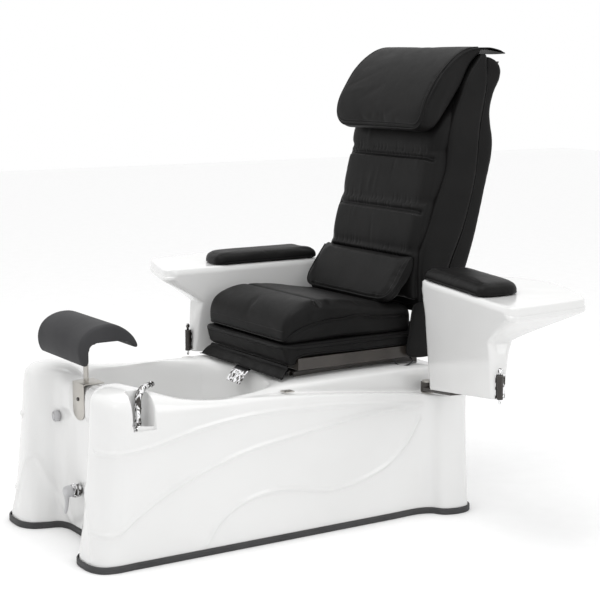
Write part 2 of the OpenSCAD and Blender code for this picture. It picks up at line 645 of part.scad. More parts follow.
module armrest_posts() color(steel) both_sides() {
    bar_z([pivot_x, pivot_y, 300], 115, 12);
    bar_z([pivot_x, pivot_y, arm_z + 30.4], 4, 18);
    bar_z([pivot_x, pivot_y, arm_z - 3.6], 3.2, 19);
}
module striker_plates() color(steel) both_sides() difference() {
    box(latch_at[0] - 14, latch_at[0] + 14, -14, 18, 440.5, 443.5);
    bar_z([latch_at[0], latch_at[1], 439], 6, 6);
}

module armrest_shell_left() at_left() armrest_shell();
module armrest_pad_left() at_left() armrest_pad();
module armrest_arm_left() at_left() armrest_arm();
module latch_barrel_left() at_left() latch_barrel();
module latch_bolt_left() at_left() latch_bolt();
module armrest_shell_right() at_right() armrest_shell();
module armrest_pad_right() at_right() armrest_pad();
module armrest_arm_right() at_right() armrest_arm();
module latch_barrel_right() at_right() latch_barrel();
module latch_bolt_right() at_right() latch_bolt();

// ---- output ---------------------------------------------------------------------
tub_shell();
bumper_strip();
base_frame();
levelling_feet();
rear_access_panel();
panel_screws();
basin_drain();
drain_pipe();
drain_valve();
drain_lever();
jet_pump();
jet_nozzle();
waterfall_spout();
supply_pipes();
mixer_valve();
sprayer_niche();
sprayer_holder();
sprayer_head();
button_bezel();
air_button();
control_box();
footrest_bracket();
clamp_screw();
footrest_post();
footrest_plate();
footrest_pad();
seat_base_plate();
base_bolts();
lower_rails();
slide_actuator();
slide_rod();
upper_rails();
seat_frame();
seat_box();
seat_cushion();
seat_skirt();
hinge_plates();
recline_motor();
wiring_loop();
back_frame();
back_shell();
back_cushion();
back_bolsters();
lumbar_flap();
headrest_pillow();
headrest_tail();
armrest_posts();
striker_plates();
armrest_shell_left();
armrest_pad_left();
armrest_arm_left();
latch_barrel_left();
latch_bolt_left();
armrest_shell_right();
armrest_pad_right();
armrest_arm_right();
latch_barrel_right();
latch_bolt_right();
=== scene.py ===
"""Pedicure spa chair: the visual model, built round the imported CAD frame.

Metres throughout. X is across the chair (the sitter's left is +X), the footrest
end is -Y, +Z is up and the floor is z = 0.
"""
import math

import bmesh
import bpy
import numpy as np
from mathutils import Matrix, Vector
from mathutils.bvhtree import BVHTree
from mathutils.kdtree import KDTree


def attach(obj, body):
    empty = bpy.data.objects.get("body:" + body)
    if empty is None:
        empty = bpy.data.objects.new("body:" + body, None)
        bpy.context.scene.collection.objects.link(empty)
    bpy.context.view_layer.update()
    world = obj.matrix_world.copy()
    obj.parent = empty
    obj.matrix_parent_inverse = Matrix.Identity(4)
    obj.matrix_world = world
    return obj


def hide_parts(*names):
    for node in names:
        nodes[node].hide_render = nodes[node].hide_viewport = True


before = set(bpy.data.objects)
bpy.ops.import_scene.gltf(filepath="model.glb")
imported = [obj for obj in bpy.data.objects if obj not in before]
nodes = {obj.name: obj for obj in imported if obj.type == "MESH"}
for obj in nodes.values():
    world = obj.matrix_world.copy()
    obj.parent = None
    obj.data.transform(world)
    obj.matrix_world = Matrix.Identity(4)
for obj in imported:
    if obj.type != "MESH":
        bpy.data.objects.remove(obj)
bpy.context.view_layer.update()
MM = 0.001

# ---- camera, floor and light ----------------------------------------------------
CAMERA_AT = (4.080, -2.368, 1.42)
CAMERA_AZIMUTH = 57.4
CAMERA_DOWN = 9.0
CAMERA_LENS = 92.8


# Name, place, aim, size in metres and power in watts of each soft lamp
LAMPS = [
    ("key", (2.2, -3.8, 3.6), (0, 0, 0.6), (1.6, 1.6), 8),
    ("top", (0.2, -0.3, 3.4), (0, -0.1, 0.4), (2.2, 2.2), 40),
    ("side", (3.6, 1.4, 2.2), (0, 0.4, 0.8), (0.8, 2.0), 12),
]


def add_camera():
    """The view from the front left, a little above the seat."""
    data = bpy.data.cameras.new("camera")
    data.lens = CAMERA_LENS
    data.sensor_width = 36.0
    camera = bpy.data.objects.new("camera", data)
    camera.location = CAMERA_AT
    camera.rotation_euler = (math.radians(90 - CAMERA_DOWN), 0, math.radians(CAMERA_AZIMUTH))
    bpy.context.scene.collection.objects.link(camera)
    bpy.context.scene.camera = camera


def add_light(name, place, target, size, watts, colour=(1, 1, 1)):
    data = bpy.data.lights.new(name, "AREA")
    data.shape = "RECTANGLE"
    data.size, data.size_y = size
    data.energy = watts
    data.color = colour
    lamp = bpy.data.objects.new(name, data)
    lamp.location = place
    lamp.rotation_euler = (Vector(target) - Vector(place)).to_track_quat("-Z", "Y").to_euler()
    bpy.context.scene.collection.objects.link(lamp)


def add_world(colour, strength):
    world = bpy.data.worlds.new("studio")
    bpy.context.scene.world = world
    world.use_nodes = True
    background = world.node_tree.nodes["Background"]
    background.inputs["Color"].default_value = (*colour, 1)
    background.inputs["Strength"].default_value = strength


# ---- materials --------------------------------------------------------------------
def shader_of(name):
    material = bpy.data.materials.new(name)
    material.use_nodes = True
    tree = material.node_tree
    return material, tree, tree.nodes["Principled BSDF"]


def texture(tree, kind, scale, stretch=(1, 1, 1), **settings):
    """A texture node in the object's own coordinates, with a scale in features per metre."""
    place = tree.nodes.new("ShaderNodeTexCoord")
    mapping = tree.nodes.new("ShaderNodeMapping")
    mapping.inputs["Scale"].default_value = stretch
    tree.links.new(place.outputs["Object"], mapping.inputs["Vector"])
    made = tree.nodes.new(kind)
    made.inputs["Scale"].default_value = scale
    tree.links.new(mapping.outputs["Vector"], made.inputs["Vector"])
    for key, value in settings.items():
        if key in ("feature",):
            setattr(made, key, value)
        else:
            made.inputs[key].default_value = value
    return made


def vary_colour(tree, shader, source, low, high, start=0.3, end=0.7):
    ramp = tree.nodes.new("ShaderNodeValToRGB")
    ramp.color_ramp.elements[0].position = start
    ramp.color_ramp.elements[1].position = end
    ramp.color_ramp.elements[0].color = (*low, 1)
    ramp.color_ramp.elements[1].color = (*high, 1)
    tree.links.new(source, ramp.inputs["Fac"])
    tree.links.new(ramp.outputs["Color"], shader.inputs["Base Color"])


def vary_roughness(tree, shader, source, low, high):
    spread = tree.nodes.new("ShaderNodeMapRange")
    spread.inputs["To Min"].default_value = low
    spread.inputs["To Max"].default_value = high
    tree.links.new(source, spread.inputs["Value"])
    tree.links.new(spread.outputs["Result"], shader.inputs["Roughness"])


def add_bumps(tree, shader, bumps):
    """bumps is a list of (socket, strength, distance), each laid over the one before."""
    last = None
    for source, strength, distance in bumps:
        bump = tree.nodes.new("ShaderNodeBump")
        bump.inputs["Strength"].default_value = strength
        bump.inputs["Distance"].default_value = distance
        tree.links.new(source, bump.inputs["Height"])
        if last:
            tree.links.new(last.outputs["Normal"], bump.inputs["Normal"])
        last = bump
    tree.links.new(last.outputs["Normal"], shader.inputs["Normal"])


def white_gelcoat():
    """Glossy moulded acrylic: faint orange peel, slight tone drift and dulled patches."""
    material, tree, shader = shader_of("white_gelcoat")
    drift = texture(tree, "ShaderNodeTexNoise", 2.2, Detail=3.0)
    peel = texture(tree, "ShaderNodeTexNoise", 160.0, Detail=2.0)
    wander = texture(tree, "ShaderNodeTexNoise", 9.0, Detail=2.0)
    vary_colour(tree, shader, drift.outputs["Fac"], (0.700, 0.700, 0.694), (0.745, 0.745, 0.740))
    vary_roughness(tree, shader, wander.outputs["Fac"], 0.16, 0.30)
    add_bumps(tree, shader, [(wander.outputs["Fac"], 0.12, 0.0012), (peel.outputs["Fac"], 0.06, 0.0003)])
    shader.inputs["Coat Weight"].default_value = 0.45
    shader.inputs["Coat Roughness"].default_value = 0.06
    return material


LEATHER_SPECULAR = 0.11


def leather(name, low, high, rough, grain_scale, grain_depth, crease_depth):
    """Synthetic leather: pebbled cells, long soft creases and a worn sheen."""
    material, tree, shader = shader_of(name)
    cells = texture(tree, "ShaderNodeTexVoronoi", grain_scale, feature="DISTANCE_TO_EDGE")
    creases = texture(tree, "ShaderNodeTexNoise", 26.0, Detail=6.0, Roughness=0.6, Distortion=0.6)
    tone = texture(tree, "ShaderNodeTexNoise", 7.0, Detail=4.0)
    vary_colour(tree, shader, tone.outputs["Fac"], low, high)
    vary_roughness(tree, shader, creases.outputs["Fac"], rough[0], rough[1])
    add_bumps(tree, shader, [
        (creases.outputs["Fac"], 0.35, crease_depth),
        (cells.outputs["Distance"], 0.5, grain_depth),
    ])
    shader.inputs["Specular IOR Level"].default_value = LEATHER_SPECULAR
    return material


def plastic(name, low, high, rough, scale=240.0, depth=0.0002, coat=0.0):
    material, tree, shader = shader_of(name)
    tone = texture(tree, "ShaderNodeTexNoise", 14.0, Detail=3.0)
    fine = texture(tree, "ShaderNodeTexNoise", scale, Detail=3.0)
    vary_colour(tree, shader, tone.outputs["Fac"], low, high)
    vary_roughness(tree, shader, fine.outputs["Fac"], rough[0], rough[1])
    add_bumps(tree, shader, [(fine.outputs["Fac"], 0.3, depth)])
    shader.inputs["Coat Weight"].default_value = coat
    return material


def metal(name, low, high, rough, stretch=(1, 1, 1), scale=300.0, depth=0.00006):
    """Metal whose fine scratches run along the axis with the smallest stretch."""
    material, tree, shader = shader_of(name)
    tone = texture(tree, "ShaderNodeTexNoise", 11.0, Detail=3.0)
    brush = texture(tree, "ShaderNodeTexNoise", scale, stretch=stretch, Detail=3.0)
    vary_colour(tree, shader, tone.outputs["Fac"], low, high)
    vary_roughness(tree, shader, brush.outputs["Fac"], rough[0], rough[1])
    add_bumps(tree, shader, [(brush.outputs["Fac"], 0.4, depth)])
    shader.inputs["Metallic"].default_value = 1.0
    return material


FLOOR_GLOW = 0.08


def floor_paint():
    """Matt white that glows a little, so that the floor runs into the white world."""
    material = plastic("studio_floor", (0.86, 0.86, 0.86), (0.88, 0.88, 0.88), (0.7, 0.8), 40.0, 0.0001)
    shader = material.node_tree.nodes["Principled BSDF"]
    shader.inputs["Emission Color"].default_value = (1.0, 1.0, 1.0, 1.0)
    shader.inputs["Emission Strength"].default_value = FLOOR_GLOW
    return material


def chrome_plate():
    """Bright chrome with painted reflections: its colour runs from dark to bright in bands, standing in for a
    dark room mirrored in it.
    """
    material, tree, shader = shader_of("chrome")
    # Painted reflection: this noise drives the base colour between dark and bright bands, as a mirrored dark
    # room would show, not the metal's own tone.
    room = texture(tree, "ShaderNodeTexNoise", 42.0, stretch=(1.6, 1.6, 0.7), Detail=2.0, Distortion=1.8)
    fine = texture(tree, "ShaderNodeTexNoise", 260.0, Detail=2.0)
    vary_colour(tree, shader, room.outputs["Fac"], (0.075, 0.070, 0.066), (0.90, 0.90, 0.91), 0.44, 0.53)
    vary_roughness(tree, shader, fine.outputs["Fac"], 0.05, 0.14)
    add_bumps(tree, shader, [(fine.outputs["Fac"], 0.2, 0.00004)])
    shader.inputs["Metallic"].default_value = 1.0
    return material


WHITE = white_gelcoat()
BLACK_LEATHER = leather("black_leather", (0.0050, 0.0049, 0.0049), (0.0085, 0.0082, 0.0081),
                        (0.40, 0.56), 620.0, 0.0003, 0.0014)
PIPING = leather("piping_leather", (0.0045, 0.0044, 0.0044), (0.0070, 0.0068, 0.0068),
                 (0.36, 0.48), 900.0, 0.0002, 0.0004)
GREY_SKIN = leather("grey_pad_skin", (0.036, 0.036, 0.038), (0.047, 0.047, 0.049),
                    (0.50, 0.62), 1200.0, 0.00012, 0.0005)
THREAD = plastic("thread", (0.02, 0.02, 0.02), (0.04, 0.04, 0.04), (0.5, 0.7), 900.0)
RUBBER = plastic("strip_rubber", (0.030, 0.030, 0.031), (0.045, 0.045, 0.046), (0.55, 0.75), 420.0, 0.0004)
DARK_PAINT = plastic("dark_frame_paint", (0.020, 0.016, 0.013), (0.034, 0.028, 0.023),
                     (0.32, 0.5), 380.0, 0.0002, coat=0.15)
BLACK_PLASTIC = plastic("black_plastic", (0.012, 0.012, 0.013), (0.022, 0.022, 0.023), (0.38, 0.55))
GREY_PLASTIC = plastic("grey_plastic", (0.40, 0.40, 0.41), (0.52, 0.52, 0.53), (0.3, 0.45), coat=0.2)
PALE_PLASTIC = plastic("pale_plastic", (0.62, 0.62, 0.60), (0.72, 0.72, 0.70), (0.35, 0.5))
STEEL = metal("satin_steel", (0.46, 0.44, 0.41), (0.60, 0.58, 0.54), (0.30, 0.46), (30, 30, 1), 60.0)
CHROME = chrome_plate()
COPPER = metal("copper_pipe", (0.62, 0.34, 0.20), (0.80, 0.50, 0.32), (0.25, 0.42))
FLOOR_PAINT = floor_paint()

CAD_LOOKS = {
    "base_frame": DARK_PAINT, "levelling_feet": BLACK_PLASTIC, "rear_access_panel": WHITE,
    "panel_screws": STEEL, "basin_drain": CHROME, "drain_pipe": PALE_PLASTIC,
    "drain_valve": CHROME, "jet_pump": BLACK_PLASTIC, "jet_nozzle": CHROME,
    "waterfall_spout": CHROME, "supply_pipes": COPPER, "mixer_valve": COPPER,
    "sprayer_holder": CHROME, "button_bezel": GREY_PLASTIC, "control_box": BLACK_PLASTIC,
    "footrest_bracket": STEEL, "clamp_screw": DARK_PAINT, "footrest_post": STEEL,
    "footrest_plate": STEEL, "seat_base_plate": DARK_PAINT, "base_bolts": STEEL,
    "lower_rails": DARK_PAINT, "slide_actuator": BLACK_PLASTIC, "slide_rod": CHROME,
    "upper_rails": STEEL, "seat_frame": DARK_PAINT, "hinge_plates": DARK_PAINT,
    "recline_motor": BLACK_PLASTIC, "back_frame": DARK_PAINT, "armrest_posts": STEEL,
    "striker_plates": STEEL, "armrest_arm_left": DARK_PAINT, "armrest_arm_right": DARK_PAINT,
    "latch_bolt_left": CHROME, "latch_bolt_right": CHROME,
}


def dress_cad_nodes():
    for name, look in CAD_LOOKS.items():
        mesh = nodes[name].data
        if len(mesh.materials) == 0:
            mesh.materials.append(look)
        for index in range(len(mesh.materials)):
            mesh.materials[index] = look


# ---- mesh helpers -------------------------------------------------------------------
def ease(t):
    t = np.clip(t, 0.0, 1.0)
    return t * t * (3 - 2 * t)


def mix(a, b, t):
    return a + (b - a) * t


def unit(v):
    length = np.linalg.norm(v, axis=-1, keepdims=True)
    return v / np.maximum(length, 1e-12)


def spline(points, closed=False, per_span=12):
    """Centripetal Catmull-Rom curve through the points, per_span samples in each span."""
    p = np.array(points, float)
    n = len(p)
    if closed:
        p = np.vstack([p[-1], p, p[0], p[1]])
    else:
        p = np.vstack([2 * p[0] - p[1], p, 2 * p[-1] - p[-2]])
    spans = n if closed else n - 1
    made = []
    for i in range(spans):
        p0, p1, p2, p3 = p[i:i + 4]
        k0 = 0.0
        k1 = k0 + max(np.linalg.norm(p1 - p0), 1e-9) ** 0.5
        k2 = k1 + max(np.linalg.norm(p2 - p1), 1e-9) ** 0.5
        k3 = k2 + max(np.linalg.norm(p3 - p2), 1e-9) ** 0.5
        count = per_span[i] if hasattr(per_span, "__len__") else per_span
        t = np.linspace(k1, k2, count, endpoint=False)[:, None]
        a1 = (k1 - t) / (k1 - k0) * p0 + (t - k0) / (k1 - k0) * p1
        a2 = (k2 - t) / (k2 - k1) * p1 + (t - k1) / (k2 - k1) * p2
        a3 = (k3 - t) / (k3 - k2) * p2 + (t - k2) / (k3 - k2) * p3
        b1 = (k2 - t) / (k2 - k0) * a1 + (t - k0) / (k2 - k0) * a2
        b2 = (k3 - t) / (k3 - k1) * a2 + (t - k1) / (k3 - k1) * a3
        made.append((k2 - t) / (k2 - k1) * b1 + (t - k1) / (k2 - k1) * b2)
    out = np.vstack(made)
    return out if closed else np.vstack([out, p[-2]])


def evenly(points, count, closed=False):
    """The polyline resampled to count points at equal steps of length."""
    p = np.array(points, float)
    if closed:
        p = np.vstack([p, p[0]])
    length = np.concatenate([[0], np.cumsum(np.linalg.norm(np.diff(p, axis=0), axis=1))])
    at = np.linspace(0, length[-1], count, endpoint=not closed)
    return np.stack([np.interp(at, length, p[:, k]) for k in range(p.shape[1])], 1)


def along_x(x, points):
    """(y, z) points placed at x."""
    p = np.array(points, float)
    return np.column_stack([np.full(len(p), x), p])


def grid_faces(rows, columns, wrap=False, start=0):
    last = columns if wrap else columns - 1
    return [
        (start + r * columns + c, start + r * columns + (c + 1) % columns,
         start + (r + 1) * columns + (c + 1) % columns, start + (r + 1) * columns + c)
        for r in range(rows - 1) for c in range(last)
    ]


def add_piece(name, points, faces, material, smooth=True):
    mesh = bpy.data.meshes.new(name)
    mesh.from_pydata([tuple(map(float, p)) for p in points], [], faces)
    piece = bpy.data.objects.new(name, mesh)
    bpy.context.scene.collection.objects.link(piece)
    mesh.materials.append(material)
    work = bmesh.new()
    work.from_mesh(mesh)
    bmesh.ops.recalc_face_normals(work, faces=work.faces)
    work.to_mesh(mesh)
    work.free()
    mesh.polygons.foreach_set("use_smooth", [smooth] * len(mesh.polygons))
    return piece


def loft(name, rings, material, caps=True):
    """A skin over closed rings of equal length, its ends filled."""
    rings = [np.array(r, float) for r in rings]
    columns = len(rings[0])
    faces = grid_faces(len(rings), columns, wrap=True)
    if caps:
        faces.append(tuple(range(columns)))
        faces.append(tuple((len(rings) - 1) * columns + k for k in range(columns)))
    return add_piece(name, np.vstack(rings), faces, material)


def tube(name, line, radius, material, sides=10, closed=False, piece=True):
    """A round tube along a line; radius is one number or one for each point."""
    p = np.array(line, float)
    n = len(p)
    radii = np.full(n, radius) if np.isscalar(radius) else np.array(radius, float)
    ahead = np.roll(p, -1, 0) if closed else np.vstack([p[1:], 2 * p[-1] - p[-2]])
    behind = np.roll(p, 1, 0) if closed else np.vstack([2 * p[0] - p[1], p[:-1]])
    way = unit(ahead - behind)
    side = np.cross(way[0], [0.3, 0.2, 1.0])
    points = []
    for k in range(n):
        side = unit(side - way[k] * np.dot(side, way[k]))
        up = np.cross(way[k], side)
        for s in range(sides):
            angle = 2 * math.pi * s / sides
            points.append(p[k] + radii[k] * (math.cos(angle) * side + math.sin(angle) * up))
    faces = grid_faces(n, sides, wrap=True)
    if closed:
        faces += [((n - 1) * sides + s, (n - 1) * sides + (s + 1) % sides, (s + 1) % sides, s)
                  for s in range(sides)]
    else:
        faces += [tuple(range(sides)), tuple((n - 1) * sides + s for s in range(sides))]
    return add_piece(name, points, faces, material) if piece else (points, faces)


def lathe(name, profile, place, axis, material, sides=48, ripple=None):
    """A turned shape: profile is (radius, height) pairs along axis from place.
    ripple is (number of teeth, depth, first row, last row) for a knurled stretch."""
    turn = Vector((0, 0, 1)).rotation_difference(Vector(axis)).to_matrix()
    points = []
    for row, (radius, height) in enumerate(profile):
        for s in range(sides):
            angle = 2 * math.pi * s / sides
            r = radius
            if ripple and ripple[2] <= row <= ripple[3]:
                r -= ripple[1] * (0.5 - 0.5 * math.cos(angle * ripple[0]))
            points.append(turn @ Vector((r * math.cos(angle), r * math.sin(angle), height)) + Vector(place))
    faces = grid_faces(len(profile), sides, wrap=True)
    faces += [tuple(range(sides)), tuple((len(profile) - 1) * sides + s for s in range(sides))]
    return add_piece(name, points, faces, material)


def join(name, pieces):
    """Joins pieces into the first one and gives it the name."""
    work = bmesh.new()
    first = pieces[0]
    for piece in pieces:
        part = piece.data.copy()
        part.transform(piece.matrix_world)
        work.from_mesh(part)
        bpy.data.meshes.remove(part)
    work.to_mesh(first.data)
    work.free()
    for piece in pieces[1:]:
        bpy.data.objects.remove(piece)
    first.name = name
    first.data.polygons.foreach_set("use_smooth", [True] * len(first.data.polygons))
    return first


def bevel(piece, width, segments=3, angle=35.0):
    modifier = piece.modifiers.new("Bevel", "BEVEL")
    modifier.width = width
    modifier.segments = segments
    modifier.limit_method = "ANGLE"
    modifier.angle_limit = math.radians(angle)
    modifier.harden_normals = False
    return piece


def settle(piece):
    """Applies the piece's modifiers to its mesh."""
    depsgraph = bpy.context.evaluated_depsgraph_get()
    made = bpy.data.meshes.new_from_object(piece.evaluated_get(depsgraph))
    piece.modifiers.clear()
    piece.data = made
    made.polygons.foreach_set("use_smooth", [True] * len(made.polygons))
    return piece


def remesh(piece, voxel, smoothing=2):
    modifier = piece.modifiers.new("Remesh", "REMESH")
    modifier.mode = "VOXEL"
    modifier.voxel_size = voxel
    if smoothing:
        smooth = piece.modifiers.new("Smooth", "SMOOTH")
        smooth.iterations = smoothing
        smooth.factor = 0.5
    return settle(piece)


def subdivide(piece, levels=1):
    modifier = piece.modifiers.new("Subdivision", "SUBSURF")
    modifier.levels = levels
    modifier.render_levels = levels
    return settle(piece)


def coordinates(piece):
    co = np.empty(len(piece.data.vertices) * 3)
    piece.data.vertices.foreach_get("co", co)
    return co.reshape(-1, 3)


def set_coordinates(piece, co):
    piece.data.vertices.foreach_set("co", np.ascontiguousarray(co, np.float32).ravel())
    piece.data.update()


def vertex_normals(piece):
    return np.array([v.normal for v in piece.data.vertices], float)


CLOTH_FRAMES = 20


def puff(piece, voxel, cap, pressure=4.0):
    """Swells a closed upholstered shape as air-filled cloth; no point moves further than cap."""
    remesh(piece, voxel, smoothing=1)
    rest = coordinates(piece)
    cloth = piece.modifiers.new("Cloth", "CLOTH")
    cloth.settings.quality = 4
    cloth.settings.mass = 0.3
    cloth.settings.tension_stiffness = 12
    cloth.settings.compression_stiffness = 12
    cloth.settings.bending_stiffness = 0.6
    cloth.settings.use_pressure = True
    cloth.settings.uniform_pressure_force = pressure
    cloth.settings.effector_weights.gravity = 0
    cloth.point_cache.frame_start = 1
    cloth.point_cache.frame_end = CLOTH_FRAMES
    for number in range(1, CLOTH_FRAMES + 1):
        bpy.context.scene.frame_set(number)
    settle(piece)
    bpy.context.scene.frame_set(1)
    moved = coordinates(piece) - rest
    length = np.linalg.norm(moved, axis=1, keepdims=True)
    set_coordinates(piece, rest + moved * np.minimum(1.0, cap / np.maximum(length, 1e-9)))
    taut = piece.modifiers.new("Smooth", "SMOOTH")
    taut.iterations = 5
    taut.factor = 0.5
    return settle(piece)


def carve(piece, lines, width, depth):
    """Presses soft channels into a piece along lines."""
    samples = np.vstack(lines)
    tree = KDTree(len(samples))
    for k, p in enumerate(samples):
        tree.insert(p, k)
    tree.balance()
    co = coordinates(piece)
    distance = np.array([tree.find(p)[2] for p in co])
    press = depth * np.exp(-(distance / width) ** 2)
    set_coordinates(piece, co - vertex_normals(piece) * press[:, None])
    return piece


def onto(piece, line, lift=0.0):
    """The line's points moved to the nearest place on the piece's skin."""
    tree = BVHTree.FromPolygons([v.co for v in piece.data.vertices],
                                [tuple(f.vertices) for f in piece.data.polygons])
    made = []
    for p in line:
        place, normal, _, _ = tree.find_nearest(Vector(p))
        made.append(np.array(place) + lift * np.array(normal))
    return np.array(made)


SEW_SMOOTHING = 14


def sew(name, piece, line, radius, lift=0.0, closed=False, spacing=0.006):
    """Piping laid on a piece's skin along a line."""
    length = np.linalg.norm(np.diff(np.array(line, float), axis=0), axis=1).sum()
    samples = evenly(line, max(8, int(length / spacing)), closed)
    laid = onto(piece, samples, lift)
    for _ in range(SEW_SMOOTHING):
        middle = 0.5 * laid + 0.25 * (np.roll(laid, 1, 0) + np.roll(laid, -1, 0))
        if closed:
            laid = middle
        else:
            laid[1:-1] = middle[1:-1]
    return tube(name, laid, radius, PIPING, closed=closed)


STITCH_LENGTH = 0.0034
STITCH_STEP = 0.0052


def stitches(name, piece, line, lift=0.0004, radius=0.0005):
    """A row of thread stitches on a piece's skin along a line."""
    length = np.linalg.norm(np.diff(np.array(line, float), axis=0), axis=1).sum()
    middles = onto(piece, evenly(line, max(3, int(length / STITCH_STEP))), lift)
    points, faces = [], []
    for k in range(1, len(middles) - 1):
        way = unit(middles[k + 1] - middles[k - 1])
        dash = [middles[k] - way * STITCH_LENGTH / 2, middles[k], middles[k] + way * STITCH_LENGTH / 2]
        p, f = tube("", dash, [radius * 0.6, radius, radius * 0.6], None, sides=5, piece=False)
        faces += [tuple(i + len(points) for i in face) for face in f]
        points += p
    return add_piece(name, points, faces, THREAD)


def inset_outline(points, distance):
    """A closed 2D outline moved inwards along its normals."""
    p = np.array(points, float)
    way = unit(np.roll(p, -1, 0) - np.roll(p, 1, 0))
    normal = np.column_stack([-way[:, 1], way[:, 0]])
    area = 0.5 * np.sum(p[:, 0] * np.roll(p[:, 1], -1) - np.roll(p[:, 0], -1) * p[:, 1])
    return p + normal * distance * (1 if area > 0 else -1)


def profile_solid(name, outline, half_x, edge, material, samples=120, shrink=0.0, ends=5):
    """A (y, z) outline carried across X from -half_x to half_x, its end edges rounded."""
    outline = evenly(outline, samples, closed=True)
    stations = [half_x - edge * (1 - math.sin(math.pi / 2 * k / ends)) for k in range(ends + 1)]
    insets = [edge * (1 - math.cos(math.pi / 2 * k / ends)) for k in range(ends + 1)]
    rings = []
    for x, inset in zip(reversed(stations), reversed(insets)):
        rings.append(along_x(-x, inset_outline(outline, inset + shrink)))
    for x in np.linspace(-stations[0], stations[0], 9)[1:-1]:
        rings.append(along_x(x, inset_outline(outline, shrink)))
    for x, inset in zip(stations, insets):
        rings.append(along_x(x, inset_outline(outline, inset + shrink)))
    return loft(name, rings, material)


def place_on(piece, body, slot_name, *replaced):
    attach(piece, body)
    if replaced:
        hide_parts(*replaced)
    return piece


# ---- the tub ------------------------------------------------------------------------
# One half of the foot, front centre to rear centre, and the shoulder above each column
FOOT_LINE = [
    (0, -515), (24, -515), (60, -515), (112, -518), (143, -534), (156, -572),
    (174, -612), (206, -633), (250, -637), (296, -631), (325, -611),
    (336, -578), (336, -518), (336, -446), (336, -350), (336, -235), (336, -118), (336, 0),
    (336, 120), (336, 240), (336, 360), (336, 470), (350, 506), (384, 532),
    (398, 576), (390, 618), (360, 640), (290, 645), (150, 645), (0, 645),
]
SHOULDER_LINE = [
    (0, -526, 432, 470), (24, -526, 432, 470), (60, -526, 432, 470),
    (112, -530, 434, 471), (146, -542, 438, 475), (166, -562, 444, 482),
    (186, -580, 450, 490), (212, -590, 452, 496), (250, -590, 450, 500),
    (288, -580, 442, 500), (316, -560, 430, 498), (328, -538, 420, 495),
    (332, -512, 410, 490), (334, -446, 400, 476), (335, -350, 404, 458),
    (335, -235, 418, 447), (335, -118, 426, 448), (335, 0, 426, 452),
    (335, 120, 420, 452), (335, 240, 408, 452), (335, 360, 394, 452),
    (335, 470, 380, 452), (346, 506, 376, 452), (372, 530, 374, 452),
    (384, 574, 374, 452), (376, 612, 374, 452), (348, 631, 374, 452),
    (285, 636, 374, 452), (150, 636, 374, 452), (0, 636, 374, 452),
]
HALF_COLUMNS = len(FOOT_LINE)
TUB_BOTTOM_Z = 4
DECK_X, DECK_Y, DECK_Z = 283, 600, 452
REAR_Y = 645
BASIN_MIDDLE = np.array([0.0, -215.0])
DRAIN_MIDDLE = np.array([0.0, -205.0])
DRAIN_RADIUS = 31
BASIN_FLOOR_Z = 190
MOUTH_Z = 440
SIDE_SPANS = (11, 21)
FRONT_TURN, REAR_TURN = 48, 45
SIDE_STEPS = (0, 0.08, 0.2, 0.38, 0.58, 0.8, 1)


def column_way(i):
    if i < 12:
        turn = math.radians(FRONT_TURN * i / 12)
        return np.array([math.sin(turn), -math.cos(turn)])
    if i < 18:
        return unit(np.array(FOOT_LINE[i], float) - BASIN_MIDDLE)
    turn = math.radians(REAR_TURN * (HALF_COLUMNS - 1 - i) / (HALF_COLUMNS - 19))
    return np.array([math.sin(turn), math.cos(turn)])


def squircle(way, half_x, front, rear):
    half_y = front if way[1] < 0 else rear
    power = 2.5
    reach = (abs(way[0] / half_x) ** power + abs(way[1] / half_y) ** power) ** (-1 / power)
    return BASIN_MIDDLE + way * reach


def tub_column(i):
    """Control points of one column: foot, side, rim, basin wall and floor."""
    foot, top = np.array(FOOT_LINE[i], float), SHOULDER_LINE[i]
    edge, low, crest = np.array(top[:2], float), top[2], top[3]
    way = column_way(i)
    mouth = squircle(way, 295, 240, 258)
    floor = squircle(way, 208, 165, 175)
    column = []
    for f in SIDE_STEPS:
        blend = float(ease(f / 0.6)) if i <= 6 else f ** 0.7
        column.append((*mix(foot, edge, blend), mix(TUB_BOTTOM_Z, low, f)))
    ledge = float(ease((i - 15) / 3))
    inner = np.array([min(edge[0], DECK_X), min(edge[1], DECK_Y)])
    toward, step = unit(mouth - inner), unit(inner - edge)
    flat = [
        (*(edge + 3 * step), low + 3), (*(edge + 11 * step), low + 4), (*inner, low + 4),
        (*(inner + 2 * toward), DECK_Z - 9), (*(inner + 11 * toward), DECK_Z),
        (*(mouth - 14 * toward), DECK_Z), (*mouth, MOUTH_Z),
    ]
    heights = [mix(low, crest, 0.5), mix(low, crest, 0.82), crest, crest,
               mix(crest, MOUTH_Z, 0.22), mix(crest, MOUTH_Z, 0.6), MOUTH_Z]
    for k, along in enumerate((0.04, 0.14, 0.32, 0.62, 0.86, 0.97, 1)):
        dome = np.array((*mix(edge, mouth, along), heights[k]))
        column.append(tuple(mix(dome, np.array(flat[k]), ledge)))
    for along, down in ((0.08, 0.3), (0.22, 0.62), (0.46, 0.87), (0.75, 0.975), (1, 1)):
        column.append((*mix(mouth, floor, along), mix(MOUTH_Z, BASIN_FLOOR_Z, down)))
    drain = DRAIN_MIDDLE + DRAIN_RADIUS * way
    column.append((*mix(floor, drain, 0.5), BASIN_FLOOR_Z - 2))
    column.append((*drain, BASIN_FLOOR_Z - 3))
    return np.array(column) * MM


def mirrored_loop(half):
    """Half columns and their mirror images, as one closed loop of columns."""
    flip = np.array([-1.0, 1.0, 1.0])
    return np.array(half + [half[i] * flip for i in range(HALF_COLUMNS - 2, 0, -1)])


def spans_round(fine, coarse):
    """Samples in each span of the closed loop: fine along the straight sides."""
    half = [fine if SIDE_SPANS[0] <= i < SIDE_SPANS[1] else coarse for i in range(HALF_COLUMNS - 1)]
    return half + half[::-1]


